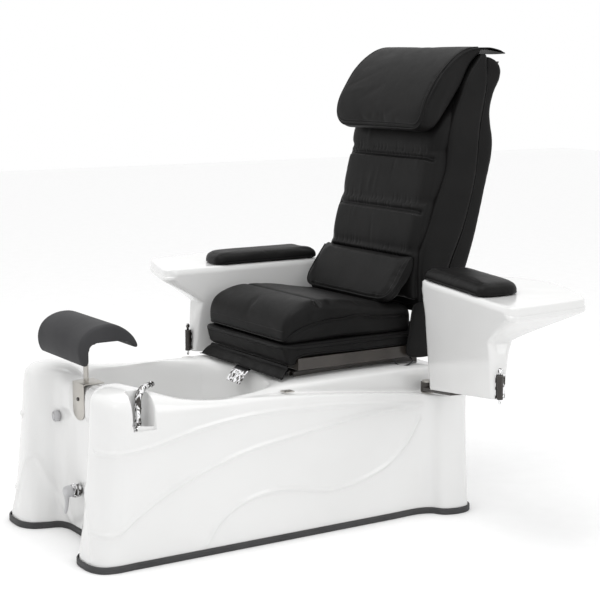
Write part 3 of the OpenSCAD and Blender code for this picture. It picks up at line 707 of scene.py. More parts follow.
def tub_skin(columns, fine, coarse, per_row):
    """The loop of control columns made smooth: an array of columns x rows x 3."""
    loop = mirrored_loop(columns)
    spans = spans_round(fine, coarse)
    rows = [spline(loop[:, r], closed=True, per_span=spans) for r in range(loop.shape[1])]
    across = np.stack(rows, 1)
    skin = np.stack([spline(column, per_span=per_row) for column in across])
    skin[:, :, 1] = np.minimum(skin[:, :, 1], REAR_Y * MM)
    return skin


# Raised lines pressed into both sides: (y, z) points in metres
SIDE_LINES = [
    [(-.642, .334), (-.496, .339), (-.306, .376), (-.141, .393), (.03, .393), (.246, .381), (.472, .35)],
    [(-.656, .106), (-.571, .109), (-.512, .148), (-.414, .204), (-.278, .257), (-.139, .293),
     (.026, .316), (.162, .335), (.308, .347), (.462, .348)],
    [(-.291, .031), (-.25, .09), (-.183, .133), (-.095, .155), (-.005, .153), (.126, .13),
     (.236, .141), (.348, .181), (.419, .238), (.465, .308)],
]
LINE_WIDTH = 0.0054
LINE_RAISE = 0.0062
LINE_SIDE_X = 0.318
LINE_CORNER_X = 0.255
# The edge of each foot's inner flank: (distance from the middle, height)
FLANK_LINE = [(.286, .030), (.268, .085), (.246, .140), (.222, .190), (.198, .222), (.180, .205),
              (.160, .150), (.140, .095), (.118, .050), (.100, .030)]
FLANK_RAISE = 0.0040
NOTCH_HALF_X = 0.043
NOTCH_DEPTH = 0.008
NOTCH_REAR_Y = -0.46
NOTCH_LOW_Z = 0.36


def line_raise(y, z):
    """How far the side stands out at (y, z) because of the raised lines."""
    raised = np.zeros(len(y))
    for line in SIDE_LINES:
        curve = spline(np.array(line), per_span=60)
        gap = np.full(len(y), 9.0)
        at = np.zeros(len(y), int)
        for k, (cy, cz) in enumerate(curve):
            d = np.hypot(y - cy, z - cz)
            nearer = d < gap
            gap[nearer] = d[nearer]
            at[nearer] = k
        fade = ease(at / 50.0) if line is not SIDE_LINES[0] else np.ones(len(y))
        raised = np.maximum(raised, LINE_RAISE * np.exp(-(gap / LINE_WIDTH) ** 2) * (0.55 + 0.45 * fade))
    return raised


def flank_raise(x, z):
    """The soft raised edge on the front, where each foot's inner flank meets the wall."""
    curve = spline(np.array(FLANK_LINE), per_span=24)
    gap = np.full(len(x), 9.0)
    for cx, cz in curve:
        gap = np.minimum(gap, np.hypot(np.abs(x) - cx, z - cz))
    return FLANK_RAISE * np.exp(-(gap / (1.3 * LINE_WIDTH)) ** 2)


def grid_normals(skin):
    around = np.roll(skin, -1, 0) - np.roll(skin, 1, 0)
    up = np.empty_like(skin)
    up[:, 1:-1] = skin[:, 2:] - skin[:, :-2]
    up[:, 0] = skin[:, 1] - skin[:, 0]
    up[:, -1] = skin[:, -1] - skin[:, -2]
    return unit(np.cross(around, up))


NICHE_MIDDLE_Y = -0.481
NICHE_HALF_Y = 0.0365
NICHE_X = (0.268, 0.346)
NICHE_OPEN_X = 0.3335
NICHE_LIP_Z = 0.3925
NICHE_FLOOR_Z = 0.388
NICHE_MARGIN = 0.012
NICHE_CORNER = 0.016
PANEL_WALL = 0.006


def rounded_rectangle(x, y, radius, count=12):
    points = []
    for cx, cy, start in ((x[1], y[1], 0), (x[0], y[1], 90), (x[0], y[0], 180), (x[1], y[0], 270)):
        mid_x = cx - radius if start in (0, 270) else cx + radius
        mid_y = cy - radius if start in (0, 90) else cy + radius
        for k in range(count + 1):
            angle = math.radians(start + 90 * k / count)
            points.append((mid_x + radius * math.cos(angle), mid_y + radius * math.sin(angle)))
    return evenly(points, 160, closed=True)


def niche_outline(grow=0.0):
    return rounded_rectangle((NICHE_X[0] - grow, NICHE_X[1] + grow),
                             (NICHE_MIDDLE_Y - NICHE_HALF_Y - grow, NICHE_MIDDLE_Y + NICHE_HALF_Y + grow),
                             NICHE_CORNER + grow)


def in_niche(place):
    """True inside the sprayer's recess, with a little room round it."""
    across = NICHE_X[0] - NICHE_MARGIN < place.x < NICHE_X[1]
    along = abs(place.y - NICHE_MIDDLE_Y) < NICHE_HALF_Y + NICHE_MARGIN
    return across and along and place.z > NICHE_FLOOR_Z


def drop_faces(thing, unwanted):
    """Deletes the faces whose middle answers true."""
    work = bmesh.new()
    work.from_mesh(thing.data)
    doomed = [face for face in work.faces if unwanted(face.calc_center_median())]
    bmesh.ops.delete(work, geom=doomed, context="FACES")
    work.to_mesh(thing.data)
    work.free()


def cut_niche(tub):
    """Opens the rim over the sprayer's recess and snaps the edge onto a clean outline."""
    tree = BVHTree.FromPolygons([v.co for v in tub.data.vertices],
                                [tuple(f.vertices) for f in tub.data.polygons])
    down = Vector((0, 0, -1))
    edge = []
    for x, y in niche_outline():
        place = tree.ray_cast(Vector((x, y, 0.6)), down)[0]
        if x > NICHE_OPEN_X or place is None or place.z < NICHE_LIP_Z:
            place = tree.find_nearest(Vector((0.36, y, NICHE_LIP_Z)))[0]
        edge.append(np.array(place))
    edge = np.array(edge)
    work = bmesh.new()
    work.from_mesh(tub.data)
    inside_x, inside_y = NICHE_X, (NICHE_MIDDLE_Y - NICHE_HALF_Y, NICHE_MIDDLE_Y + NICHE_HALF_Y)
    doomed = []
    for face in work.faces:
        c = face.calc_center_median()
        if inside_x[0] < c.x < inside_x[1] and inside_y[0] < c.y < inside_y[1] and c.z > NICHE_LIP_Z:
            doomed.append(face)
    bmesh.ops.delete(work, geom=doomed, context="FACES")
    kd = KDTree(len(edge))
    for k, p in enumerate(edge):
        kd.insert(p, k)
    kd.balance()
    for vertex in work.verts:
        if vertex.is_boundary:
            place, _, distance = kd.find(vertex.co)
            if distance < 0.012:
                vertex.co = place
    work.to_mesh(tub.data)
    work.free()
    return edge


def niche_liner(edge):
    """The recess itself: a rolled edge, upright walls and a dished floor."""
    middle = np.array([(NICHE_X[0] + NICHE_OPEN_X) / 2, NICHE_MIDDLE_Y])
    steps = [(0.0, 0.0), (0.0012, 0.0004), (0.0022, 0.0016), (0.0028, 0.0034)]
    rings = []
    for inward, drop in steps:
        ring = edge.copy()
        ring[:, :2] -= unit(edge[:, :2] - middle) * inward
        ring[:, 2] -= drop
        rings.append(ring)
    base = rings[-1].copy()
    for t in (0.35, 0.7, 0.92, 1.0):
        ring = base.copy()
        inward = 0.004 * t + (0.005 if t == 1.0 else 0.0)
        ring[:, :2] -= unit(base[:, :2] - middle) * inward
        ring[:, 2] = np.minimum(base[:, 2], mix(base[:, 2], NICHE_FLOOR_Z + 0.003 * (1 - t) * 12, t))
        rings.append(ring)
    rings[-1][:, 2] = NICHE_FLOOR_Z
    inner = rings[-1].copy()
    inner[:, :2] = middle + (inner[:, :2] - middle) * 0.5
    inner[:, 2] = NICHE_FLOOR_Z - 0.0005
    rings.append(inner)
    faces = grid_faces(len(rings), len(edge), wrap=True)
    faces.append(tuple((len(rings) - 1) * len(edge) + k for k in range(len(edge))))
    return add_piece("niche_liner", np.vstack(rings), faces, WHITE)


TUB_ROWS = [9, 12, 16, 18, 20, 18, 5, 5, 6, 7, 6, 5, 5, 8, 8, 8, 8, 8, 5, 3]
TUB_FINE, TUB_COARSE = 20, 6


def build_tub():
    """The moulded tub with its raised lines, its lining and the sprayer's recess."""
    columns = [tub_column(i) for i in range(HALF_COLUMNS)]
    skin = tub_skin(columns, TUB_FINE, TUB_COARSE, TUB_ROWS)
    normal = grid_normals(skin)
    far_out = np.abs(skin[:, :, 0])
    on_side = (far_out > LINE_SIDE_X) | ((far_out > LINE_CORNER_X) & (skin[:, :, 1] < -0.55))
    on_side &= (skin[:, :, 2] < 0.42) & (skin[:, :, 1] < 0.48)
    lift = np.zeros(on_side.shape)
    lift[on_side] = line_raise(skin[:, :, 1][on_side], skin[:, :, 2][on_side])
    on_flank = (far_out < 0.30) & (skin[:, :, 1] < -0.50) & (skin[:, :, 2] < 0.30)
    flank = flank_raise(skin[:, :, 0][on_flank], skin[:, :, 2][on_flank])
    lift[on_flank] = np.maximum(lift[on_flank], flank)
    skin += normal * lift[:, :, None]
    at_front = (skin[:, :, 1] < NOTCH_REAR_Y) & (skin[:, :, 2] > NOTCH_LOW_Z)
    outside = ease((np.abs(skin[:, :, 0]) - NOTCH_HALF_X) / 0.012)
    outside *= 1 - ease((np.abs(skin[:, :, 0]) - 0.09) / 0.06)
    high = ease((skin[:, :, 2] - NOTCH_LOW_Z) / 0.03)
    back = ease((NOTCH_REAR_Y - skin[:, :, 1]) / 0.04)
    skin[:, :, 1] -= np.where(at_front, NOTCH_DEPTH * outside * high * back, 0)
    lip = skin[:, :1] - normal[:, :1] * np.array([1, 1, 0]) * PANEL_WALL
    skin = np.concatenate([lip, skin], 1)
    columns_n, rows_n = skin.shape[:2]
    tub = add_piece("tub", skin.transpose(1, 0, 2).reshape(-1, 3),
                    grid_faces(rows_n, columns_n, wrap=True), WHITE)
    edge = cut_niche(tub)
    lining = build_lining(columns)
    drop_faces(lining, in_niche)
    tub = join("tub", [tub, lining])
    place_on(tub, "base", "white_shell", "tub_shell")
    liner = niche_liner(edge)
    place_on(liner, "base", "white_shell", "sprayer_niche")


def build_lining(columns):
    """The inner face of the moulding, seen from below and behind."""
    inner = tub_skin(columns, 5, 2, [2] * (len(columns[0]) - 1))
    inner = inner - grid_normals(inner) * PANEL_WALL
    inner[:, 0, 2] = TUB_BOTTOM_Z * MM
    columns_n, rows_n = inner.shape[:2]
    points = inner.transpose(1, 0, 2).reshape(-1, 3)
    return add_piece("tub_lining", points, grid_faces(rows_n, columns_n, wrap=True), WHITE)


STRIP_HEIGHT = 0.0195
STRIP_OUT = 0.0052


def build_strip():
    """The rubber strip round the foot: ribbed, with rolled edges."""
    loop = mirrored_loop([np.array((*p, 0.0)) * MM for p in FOOT_LINE])
    line = evenly(spline(loop, closed=True, per_span=10), 700, closed=True)
    line[:, 1] = np.minimum(line[:, 1], REAR_Y * MM)
    way = unit(np.roll(line, -1, 0) - np.roll(line, 1, 0))
    out = np.column_stack([way[:, 1], -way[:, 0], np.zeros(len(way))])
    section = [(0.0004, 0.0), (0.0036, 0.0), (STRIP_OUT, 0.0018), (STRIP_OUT, 0.0065),
               (STRIP_OUT - 0.0007, 0.0078), (STRIP_OUT, 0.0091), (STRIP_OUT, 0.0165),
               (STRIP_OUT - 0.0012, 0.0188), (0.0028, STRIP_HEIGHT), (0.0004, STRIP_HEIGHT)]
    rings = [line + out * o + np.array([0, 0, z]) for o, z in section]
    faces = grid_faces(len(rings), len(line), wrap=True)
    strip = add_piece("rubber_strip", np.vstack(rings), faces, RUBBER)
    place_on(strip, "base", "strip_rubber", "bumper_strip")


# ---- fittings of the tub --------------------------------------------------------------
VALVE_AT = (-0.012, -0.545, 0.148)
LEVER_HANDLE = [  # (y, z offset, half width, half thickness) down the handle
    (-0.5690, 0.0120, 0.0125, 0.0075), (-0.5690, -0.0040, 0.0128, 0.0085),
    (-0.5680, -0.0180, 0.0100, 0.0072), (-0.5680, -0.0340, 0.0078, 0.0056),
    (-0.5700, -0.0500, 0.0066, 0.0048), (-0.5725, -0.0620, 0.0056, 0.0040),
    (-0.5735, -0.0660, 0.0030, 0.0024),
]


def build_lever():
    """Pale hub and hanging handle, with a knurled ring behind them."""
    x, _, z = VALVE_AT
    hub = lathe("lever_hub", [
        (0.0132, 0.0), (0.0158, 0.0006), (0.0172, 0.003), (0.0176, 0.008), (0.0174, 0.0150),
        (0.0160, 0.0200), (0.0128, 0.0236), (0.0075, 0.0256), (0.0015, 0.0262)],
        (x, -0.5520, z), (0, -1, 0), GREY_PLASTIC)
    rings = []
    for y, down, half_x, half_y in LEVER_HANDLE:
        ring = []
        for k in range(24):
            angle = 2 * math.pi * k / 24
            ring.append((x + half_x * math.cos(angle), y + half_y * math.sin(angle), z + down))
        rings.append(ring)
    handle = loft("lever_handle", [np.array(r) for r in spline_rings(rings, 5)], GREY_PLASTIC)
    lever = join("valve_lever", [hub, handle])
    place_on(lever, "drain_lever", "grey_plastic")
    ring = lathe("knurled_ring", [
        (0.0085, 0.0), (0.0190, 0.0002), (0.0196, 0.001), (0.0196, 0.0068), (0.0188, 0.0078),
        (0.0085, 0.008)], (x, -0.5445, z), (0, -1, 0), CHROME, sides=288, ripple=(24, 0.0022, 1, 4))
    place_on(ring, "drain_lever", "black_plastic", "drain_lever")


def spline_rings(rings, per_span):
    """More rings between the given ones, each point following a smooth curve."""
    r = np.array(rings, float)
    columns = [spline(r[:, k], per_span=per_span) for k in range(r.shape[1])]
    return list(np.stack(columns, 1))


BUTTON_AT = (-0.132, -0.553, 0.350)


def build_button():
    """The air button in the front wall and its ring."""
    x, _, z = BUTTON_AT
    bezel = lathe("button_ring", [
        (0.0103, 0.004), (0.0106, 0.0130), (0.0116, 0.0150), (0.0132, 0.0156), (0.0150, 0.0150),
        (0.0164, 0.0128), (0.0170, 0.0096), (0.0171, 0.0), (0.0128, 0.0)],
        (x, -0.5362, z), (0, -1, 0), GREY_PLASTIC)
    place_on(bezel, "base", "grey_plastic", "button_bezel")
    cap = lathe("button_cap", [
        (0.0098, 0.0), (0.0099, 0.0052), (0.0092, 0.0066), (0.0066, 0.0060), (0.0030, 0.0052),
        (0.0008, 0.0050)], (x, -0.5460, z), (0, -1, 0), GREY_PLASTIC)
    place_on(cap, "air_button", "grey_plastic", "air_button")


SPRAYER_AT = (0.290, -0.481)
SPRAYER_NECK = [(0, 0, 0.400), (0, 0, 0.430), (0, 0, 0.458), (-0.0015, 0.002, 0.474),
                (-0.0050, 0.009, 0.489), (-0.0110, 0.022, 0.4990), (-0.0200, 0.038, 0.5025),
                (-0.0325, 0.058, 0.5030)]
SPRAYER_RADII = [0.0086, 0.0090, 0.0102, 0.0104, 0.0100, 0.0094, 0.0090, 0.0086]


def build_sprayer():
    """The pull-out hand shower: stem, curved neck and a stepped nozzle ring."""
    base = Vector((*SPRAYER_AT, 0))
    neck = np.array([(base.x + px, base.y + py, z) for px, py, z in SPRAYER_NECK])
    with_radius = spline(np.column_stack([neck, SPRAYER_RADII]), per_span=6)
    body = tube("neck", with_radius[:, :3], with_radius[:, 3], CHROME, sides=32)
    stem = lathe("stem", [(0.0070, 0.250), (0.0070, 0.4015), (0.0100, 0.4025), (0.0108, 0.4040),
                          (0.0108, 0.4090), (0.0100, 0.4105), (0.0070, 0.4110)],
                 (base.x, base.y, 0), (0, 0, 1), CHROME)
    collar = lathe("collar", [(0.0086, 0.4440), (0.0106, 0.4448), (0.0111, 0.4470), (0.0106, 0.4492),
                              (0.0086, 0.45)],
                   (base.x, base.y, 0), (0, 0, 1), CHROME)
    way = neck[-1] - neck[-2]
    tip = lathe("nozzle", [(0.0070, -0.0005), (0.0090, 0.0), (0.0093, 0.002), (0.0093, 0.0052),
                           (0.0084, 0.0062), (0.0060, 0.0060), (0.0058, 0.0030), (0.0008, 0.0028)],
                tuple(neck[-1]), tuple(way), CHROME)
    sprayer = join("hand_sprayer", [body, stem, collar, tip])
    place_on(sprayer, "sprayer", "chrome", "sprayer_head")
    ring = lathe("sprayer_base", [
        (0.0073, 0.3880), (0.0168, 0.3880), (0.0172, 0.3890), (0.0172, 0.3910), (0.0150, 0.3930),
        (0.0122, 0.3942), (0.0116, 0.3975), (0.0108, 0.3998), (0.0085, 0.4000), (0.0073, 0.3992)],
        (base.x, base.y, 0), (0, 0, 1), CHROME)
    tail = lathe("sprayer_tail", [(0.0073, 0.33), (0.0108, 0.33), (0.0108, 0.3885), (0.0073, 0.3885)],
                 (base.x, base.y, 0), (0, 0, 1), CHROME)
    place_on(join("sprayer_base", [ring, tail]), "base", "chrome", "sprayer_holder")


SPOUT_HALF_X = 0.042


def build_spout():
    """The waterfall spout: a flat chrome channel with a bright rolled lip."""
    top = [(0.066, 0.4600), (0.046, 0.4602), (0.030, 0.4585), (0.016, 0.4480), (0.004, 0.4330),
           (-0.008, 0.4170)]
    under = [(-0.0060, 0.4150), (0.0070, 0.4310), (0.0190, 0.4450), (0.032, 0.4545), (0.046, 0.4560),
             (0.066, 0.4560)]
    outline = np.vstack([spline(top, per_span=6), spline(under, per_span=6)])
    body = profile_solid("spout_body", outline, SPOUT_HALF_X, 0.0016, CHROME, samples=90)
    # Painted shade: the slot's opening is not cut; a thin black strip laid on the spout's top stands in for
    # the shade inside it.
    slot = [(0.0440, 0.4580), (0.0440, 0.4612), (0.0300, 0.4596), (0.0190, 0.4514), (0.0200, 0.4480),
            (0.0320, 0.4560)]
    dark = profile_solid("spout_slot_painted_shade", slot, SPOUT_HALF_X - 0.005, 0.0006, BLACK_PLASTIC, samples=40)
    place_on(body, "base", "chrome", "waterfall_spout")
    place_on(dark, "base", "black_plastic")
    for side in (-1, 1):
        screw = lathe("spout_screw" + ("_left" if side > 0 else "_right"), [
            (0.0034, 0.0), (0.0034, 0.0010), (0.0026, 0.0017), (0.0010, 0.0019)],
            (side * 0.032, 0.056, 0.4600), (0, 0, 1), STEEL, sides=24)
        place_on(screw, "base", "satin_steel")


# ---- footrest ---------------------------------------------------------------------------
PLATE_HALF_X = 0.038
PLATE_TOP_Z, PLATE_FOOT_Z, PLATE_FOOT_DEEP = 0.4735, 0.392, 0.027


def plate_outline():
    """Front plate of the bracket: square shoulders and a deep rounded foot."""
    points = [(-PLATE_HALF_X, PLATE_TOP_Z), (-PLATE_HALF_X, PLATE_FOOT_Z)]
    for k in range(25):
        angle = math.pi + math.pi * k / 24
        points.append((PLATE_HALF_X * math.cos(angle), 0.389 + PLATE_FOOT_DEEP * math.sin(angle)))
    points += [(PLATE_HALF_X, PLATE_FOOT_Z), (PLATE_HALF_X, PLATE_TOP_Z)]
    return np.array(points)


def square_rings(half_x, front_y, rear_y, levels):
    """Rectangles across X at the given heights, for a straight bar or a flat plate."""
    rings = []
    for z in levels:
        rings.append([(-half_x, front_y, z), (half_x, front_y, z), (half_x, rear_y, z), (-half_x, rear_y, z)])
    return rings


def build_bracket():
    """The steel hook over the front wall, with its socket, screw and the post."""
    front = plate_outline()
    rings = [np.column_stack([front[:, 0], np.full(len(front), y), front[:, 1]]) for y in (-0.5298, -0.5270)]
    plate = bevel(loft("bracket_plate", rings, STEEL), 0.0007, 2)
    fold = []
    for x in (-PLATE_HALF_X, PLATE_HALF_X):
        line = [(x, -0.5298, 0.4665)]
        for k in range(9):
            angle = math.pi / 2 * k / 8
            line.append((x, -0.5218 - 0.008 * math.cos(angle), 0.4662 + 0.008 * math.sin(angle)))
        line += [(x, -0.4625, 0.4742), (x, -0.4625, 0.4712), (x, -0.5215, 0.4712)]
        line += [(x, -0.5262, 0.4690), (x, -0.5270, 0.4662)]
        fold.append(line)
    top = bevel(loft("bracket_top", fold, STEEL), 0.0006, 2)
    sleeve = square_rings(0.0172, -0.5100, -0.4960, (0.405, 0.4715))
    socket = bevel(loft("bracket_socket", sleeve, STEEL), 0.0008, 2)
    bracket = join("bracket", [settle(plate), settle(top), settle(socket)])
    place_on(bracket, "base", "satin_steel", "footrest_bracket")
    screw = lathe("bracket_screw", [
        (0.0026, 0.0030), (0.0050, 0.0030), (0.0056, 0.0024), (0.0056, 0.0006), (0.0060, 0.0),
        (0.0030, -0.0001)], (0, -0.5302, 0.425), (0, -1, 0), DARK_PAINT, sides=36)
    place_on(screw, "base", "dark_frame_paint", "clamp_screw")
    post = square_rings(0.0125, -0.506, -0.500, (0.395, 0.611))
    bar = settle(bevel(loft("post", post, STEEL), 0.0012, 3))
    place_on(bar, "footrest", "satin_steel", "footrest_post")


PAD_TOP = [(-0.5640, 0.5500), (-0.5765, 0.5510), (-0.5855, 0.5640), (-0.5905, 0.5850), (-0.5895, 0.6080),
           (-0.5790, 0.6330), (-0.5560, 0.6530), (-0.5200, 0.6650), (-0.4800, 0.6640), (-0.4440, 0.6470),
           (-0.4180, 0.6230), (-0.4050, 0.5985), (-0.4050, 0.5915)]
PAD_UNDER = [(-0.4120, 0.5895), (-0.4200, 0.5960), (-0.4330, 0.6080), (-0.4550, 0.6140), (-0.5000, 0.6160),
             (-0.5400, 0.6140), (-0.5560, 0.6080), (-0.5615, 0.5950), (-0.5620, 0.5600), (-0.5625, 0.5520)]
PAD_HALF_X = 0.152


def build_footrest_pad():
    """Hand-moulded rest: a domed shell with a deeper lip at the front, hollow below."""
    outline = np.vstack([spline(PAD_TOP, per_span=8), spline(PAD_UNDER, per_span=8)])
    pad = profile_solid("footrest_pad_skin", outline, PAD_HALF_X, 0.011, GREY_SKIN, samples=150, ends=7)
    remesh(pad, 0.0035, smoothing=4)
    place_on(pad, "footrest", "grey_pad", "footrest_pad")
    plate_rings = square_rings(0.070, -0.535, -0.470, (0.6100, 0.6138))
    plate = bevel(loft("rest_plate", plate_rings, STEEL), 0.001, 2)
    place_on(settle(plate), "footrest", "satin_steel", "footrest_plate")


# ---- seat -----------------------------------------------------------------------------
SEAT_HALF_X = 0.245
SEAT_PROFILE = [(0.036, 0.5650), (0.0300, 0.5900), (0.0330, 0.6220), (0.0500, 0.6500), (0.0900, 0.6710),
                (0.1500, 0.6790), (0.2600, 0.6710), (0.3800, 0.6520), (0.4700, 0.6420), (0.5100, 0.6360),
                (0.5140, 0.5720), (0.5080, 0.5650), (0.2500, 0.5640)]
SEAT_PUFF = 0.010
SEAM_Y = 0.165
SIDE_PIPING = [(0.500, 0.6170), (0.440, 0.6195), (0.330, 0.6240), (0.210, 0.6260), (0.125, 0.6180),
               (0.080, 0.6030), (0.055, 0.5860), (0.042, 0.5720)]


def piping_round_front(side_line, half_x, front_y, low_z):
    """A line up one side, across the front's lower edge and back along the other side."""
    right = along_x(half_x, spline(side_line, per_span=8))
    across = np.array([(x, front_y, low_z) for x in np.linspace(half_x - 0.012, -half_x + 0.012, 60)])
    left = along_x(-half_x, spline(side_line, per_span=8))[::-1]
    return np.vstack([right, across, left])


def build_seat():
    """The seat cushion, with one seam across and piping round its lower edge."""
    cushion = profile_solid("seat_cushion_skin", spline(SEAT_PROFILE, closed=True, per_span=8),
                            SEAT_HALF_X - 0.004, 0.020, BLACK_LEATHER, samples=150, ends=7)
    puff(cushion, voxel=0.0065, cap=SEAT_PUFF)
    subdivide(cushion)
    top = [(x, SEAM_Y, 0.690) for x in np.linspace(-0.24, 0.24, 90)]
    seam = onto(cushion, top)
    side_seams = [onto(cushion, evenly(along_x(side * SEAT_HALF_X, spline(SIDE_PIPING, per_span=8)), 120))
                  for side in (-1, 1)]
    carve(cushion, [seam], 0.0075, 0.0050)
    carve(cushion, side_seams, 0.0060, 0.0030)
    place_on(cushion, "seat", "black_leather", "seat_cushion")
    edge = piping_round_front(SIDE_PIPING, SEAT_HALF_X, 0.036, 0.5690)
    place_on(sew("seat_piping", cushion, edge, 0.0033, lift=0.0010), "seat", "black_leather")
    for k, offset in enumerate((-0.0075, 0.0075)):
        row = [(x, SEAM_Y + offset, 0.690) for x in np.linspace(-0.236, 0.236, 60)]
        place_on(stitches(f"seat_stitching_{k}", cushion, row), "seat", "black_leather")
    front = [(x, 0.02, 0.604) for x in np.linspace(-0.232, 0.232, 60)]
    place_on(stitches("seat_front_stitching", cushion, front), "seat", "black_leather")


BOX_PROFILE = [(0.078, 0.5010), (0.056, 0.5000), (0.045, 0.5090), (0.038, 0.5300), (0.0335, 0.5520),
               (0.036, 0.5620),
               (0.080, 0.5640), (0.300, 0.5640), (0.4950, 0.5640), (0.5000, 0.5600), (0.5000, 0.5250),
               (0.4960, 0.5212), (0.300, 0.5212), (0.084, 0.5212)]
BOX_LIP = [(0.500, 0.5530), (0.300, 0.5530), (0.090, 0.5530), (0.050, 0.5550)]


def build_seat_box():
    """Upholstered carrier under the cushion, with a rounded lip round its top."""
    outline = np.vstack([spline(BOX_PROFILE[:6], per_span=8), evenly(BOX_PROFILE[5:], 90)[1:]])
    box = profile_solid("seat_box_skin", outline, 0.2385, 0.006, BLACK_LEATHER, samples=160)
    remesh(box, 0.005, smoothing=3)
    place_on(box, "seat", "black_leather", "seat_box")
    lip = piping_round_front(BOX_LIP, 0.2385, 0.0335, 0.5540)
    place_on(sew("seat_box_lip", box, lip, 0.0062, lift=0.0005), "seat", "black_leather")
    low = piping_round_front([(0.500, 0.5245), (0.300, 0.5245), (0.080, 0.5245), (0.055, 0.5040)],
                             0.2385, 0.050, 0.5020)
    place_on(sew("seat_box_piping", box, low, 0.0026, lift=0.0006), "seat", "black_leather")


SKIRT_TOP_Y, SKIRT_TOP_Z = 0.052, 0.4985
SKIRT_HALF_X = 0.232
SKIRT_FLARE = 0.022
SKIRT_DROP = [(0.0, 0.0), (-0.012, -0.006), (-0.023, -0.0175), (-0.030, -0.0275), (-0.036, -0.0315)]
SKIRT_COLUMNS, SKIRT_ROWS = 132, 16
SKIRT_FRAMES = 22


def skirt_point(u, v, path):
    """u runs across the skirt and v from its held edge to its free hem."""
    x = (SKIRT_HALF_X + SKIRT_FLARE * v) * (2 * u - 1)
    corner = abs(2 * u - 1) ** 6
    y, z = path[int(round(v * (len(path) - 1)))]
    wave = 0.0030 * v * math.sin(2 * math.pi * (2.5 * u + 0.15)) + 0.0018 * v * math.sin(2 * math.pi * 7 * u)
    return (x, SKIRT_TOP_Y + y * (1 + 0.16 * corner), SKIRT_TOP_Z + z * (1 + 0.10 * corner) + wave)


def build_skirt():
    """A loose leather flap held along the seat's front edge; its hem rests by the deck."""
    path = evenly(spline(SKIRT_DROP, per_span=8), SKIRT_ROWS)
    points = [skirt_point(c / (SKIRT_COLUMNS - 1), r / (SKIRT_ROWS - 1), path)
              for r in range(SKIRT_ROWS) for c in range(SKIRT_COLUMNS)]
    skirt = add_piece("seat_skirt_sheet", points, grid_faces(SKIRT_ROWS, SKIRT_COLUMNS), BLACK_LEATHER)
    hang_skirt(skirt)
    thick = skirt.modifiers.new("Solidify", "SOLIDIFY")
    thick.thickness = 0.0016
    thick.offset = 0.0
    settle(skirt)
    place_on(skirt, "seat", "black_leather", "seat_skirt")
    place_on(skirt_hem(skirt), "seat", "black_leather")


def hang_skirt(skirt):
    """Lets the skirt hang as cloth from its held edge; no point moves further than 4 mm."""
    pinned = skirt.vertex_groups.new(name="held")
    pinned.add(list(range(2 * SKIRT_COLUMNS)), 1.0, "REPLACE")
    before = coordinates(skirt)
    cloth = skirt.modifiers.new("Cloth", "CLOTH")
    cloth.settings.quality = 6
    cloth.settings.mass = 0.5
    cloth.settings.tension_stiffness = 40
    cloth.settings.compression_stiffness = 40
    cloth.settings.bending_stiffness = 8.0
    cloth.settings.vertex_group_mass = "held"
    cloth.point_cache.frame_start = 1
    cloth.point_cache.frame_end = SKIRT_FRAMES
    for number in range(1, SKIRT_FRAMES + 1):
        bpy.context.scene.frame_set(number)
    settle(skirt)
    bpy.context.scene.frame_set(1)
    after = coordinates(skirt)
    drop = np.clip(after - before, -0.004, 0.004)
    after = before + drop
    after[:, 2] = np.maximum(after[:, 2], DECK_Z * MM + 0.0135)
    set_coordinates(skirt, after)


def skirt_hem(skirt):
    """Piping along the skirt's free edge."""
    tree_points = coordinates(skirt)
    hem = [tree_points[np.argmin(np.abs(tree_points[:, 0] - x) + 40 * (tree_points[:, 1] + 1))]
           for x in np.linspace(-0.252, 0.252, 110)]
    hem = np.array(hem)
    for _ in range(6):
        hem[1:-1] = 0.5 * hem[1:-1] + 0.25 * (hem[2:] + hem[:-2])
    return tube("skirt_hem", hem, 0.0019, PIPING, sides=8)


SHROUD_OUTLINE = [(0.486, 0.486), (0.470, 0.500), (0.478, 0.560), (0.492, 0.640), (0.500, 0.652),
                  (0.560, 0.655), (0.596, 0.640), (0.604, 0.600), (0.598, 0.520), (0.585, 0.488)]
SHROUD_X = (0.2550, 0.2630)
# (share of the thickness, how far the outline draws in) from the inner face to the outer
SHROUD_EDGE = ((0.0, 0.003), (0.15, 0.0008), (0.4, 0.0), (0.8, 0.0008), (1.0, 0.0035))


def build_shrouds():
    """Upholstered side panels that hide the hinges between seat and backrest."""
    for side, word in ((1, "left"), (-1, "right")):
        outline = evenly(spline(SHROUD_OUTLINE, closed=True, per_span=6), 90, closed=True)
        rings = []
        for share, inset in SHROUD_EDGE:
            x = side * mix(SHROUD_X[0], SHROUD_X[1], share)
            rings.append(along_x(x, inset_outline(outline, inset)))
        shroud = subdivide(loft(f"hinge_shroud_{word}", rings, BLACK_LEATHER))
        place_on(shroud, "seat", "black_leather")


# ---- backrest ----------------------------------------------------------------------------
BACK_HALF_X = 0.252


def back_front(z):
    """Front of the backrest at a height z, in metres."""
    return 0.520 + np.maximum(0.0, (np.asarray(z) - 0.800)) * 0.385


REAR_LINE = [(0.668, 0.604), (0.700, 0.690), (0.738, 0.790), (0.768, 0.890), (0.792, 0.990), (0.811, 1.080),
             (0.8165, 1.150), (0.808, 1.205), (0.804, 1.250), (0.818, 1.305), (0.838, 1.350),
             (0.8400, 1.385), (0.826, 1.409), (0.800, 1.421)]
SEAM_LINE = [(0.612, 0.660), (0.646, 0.762), (0.700, 0.883), (0.745, 1.040), (0.761, 1.200), (0.773, 1.260),
             (0.785, 1.330), (0.782, 1.424)]
FRONT_TRIM = [(0.526, 0.640), (0.526, 0.790), (0.560, 0.885), (0.598, 0.985), (0.6255, 1.060),
              (0.632, 1.101), (0.640, 1.180), (0.655, 1.234), (0.676, 1.283), (0.712, 1.361), (0.762, 1.424)]


def body_outline(front_trim, rear):
    """Closed (y, z) outline between a front and a rear line, both going upwards."""
    front = spline(front_trim, per_span=8)
    back = spline(rear, per_span=8)
    return np.vstack([front, back[::-1]])


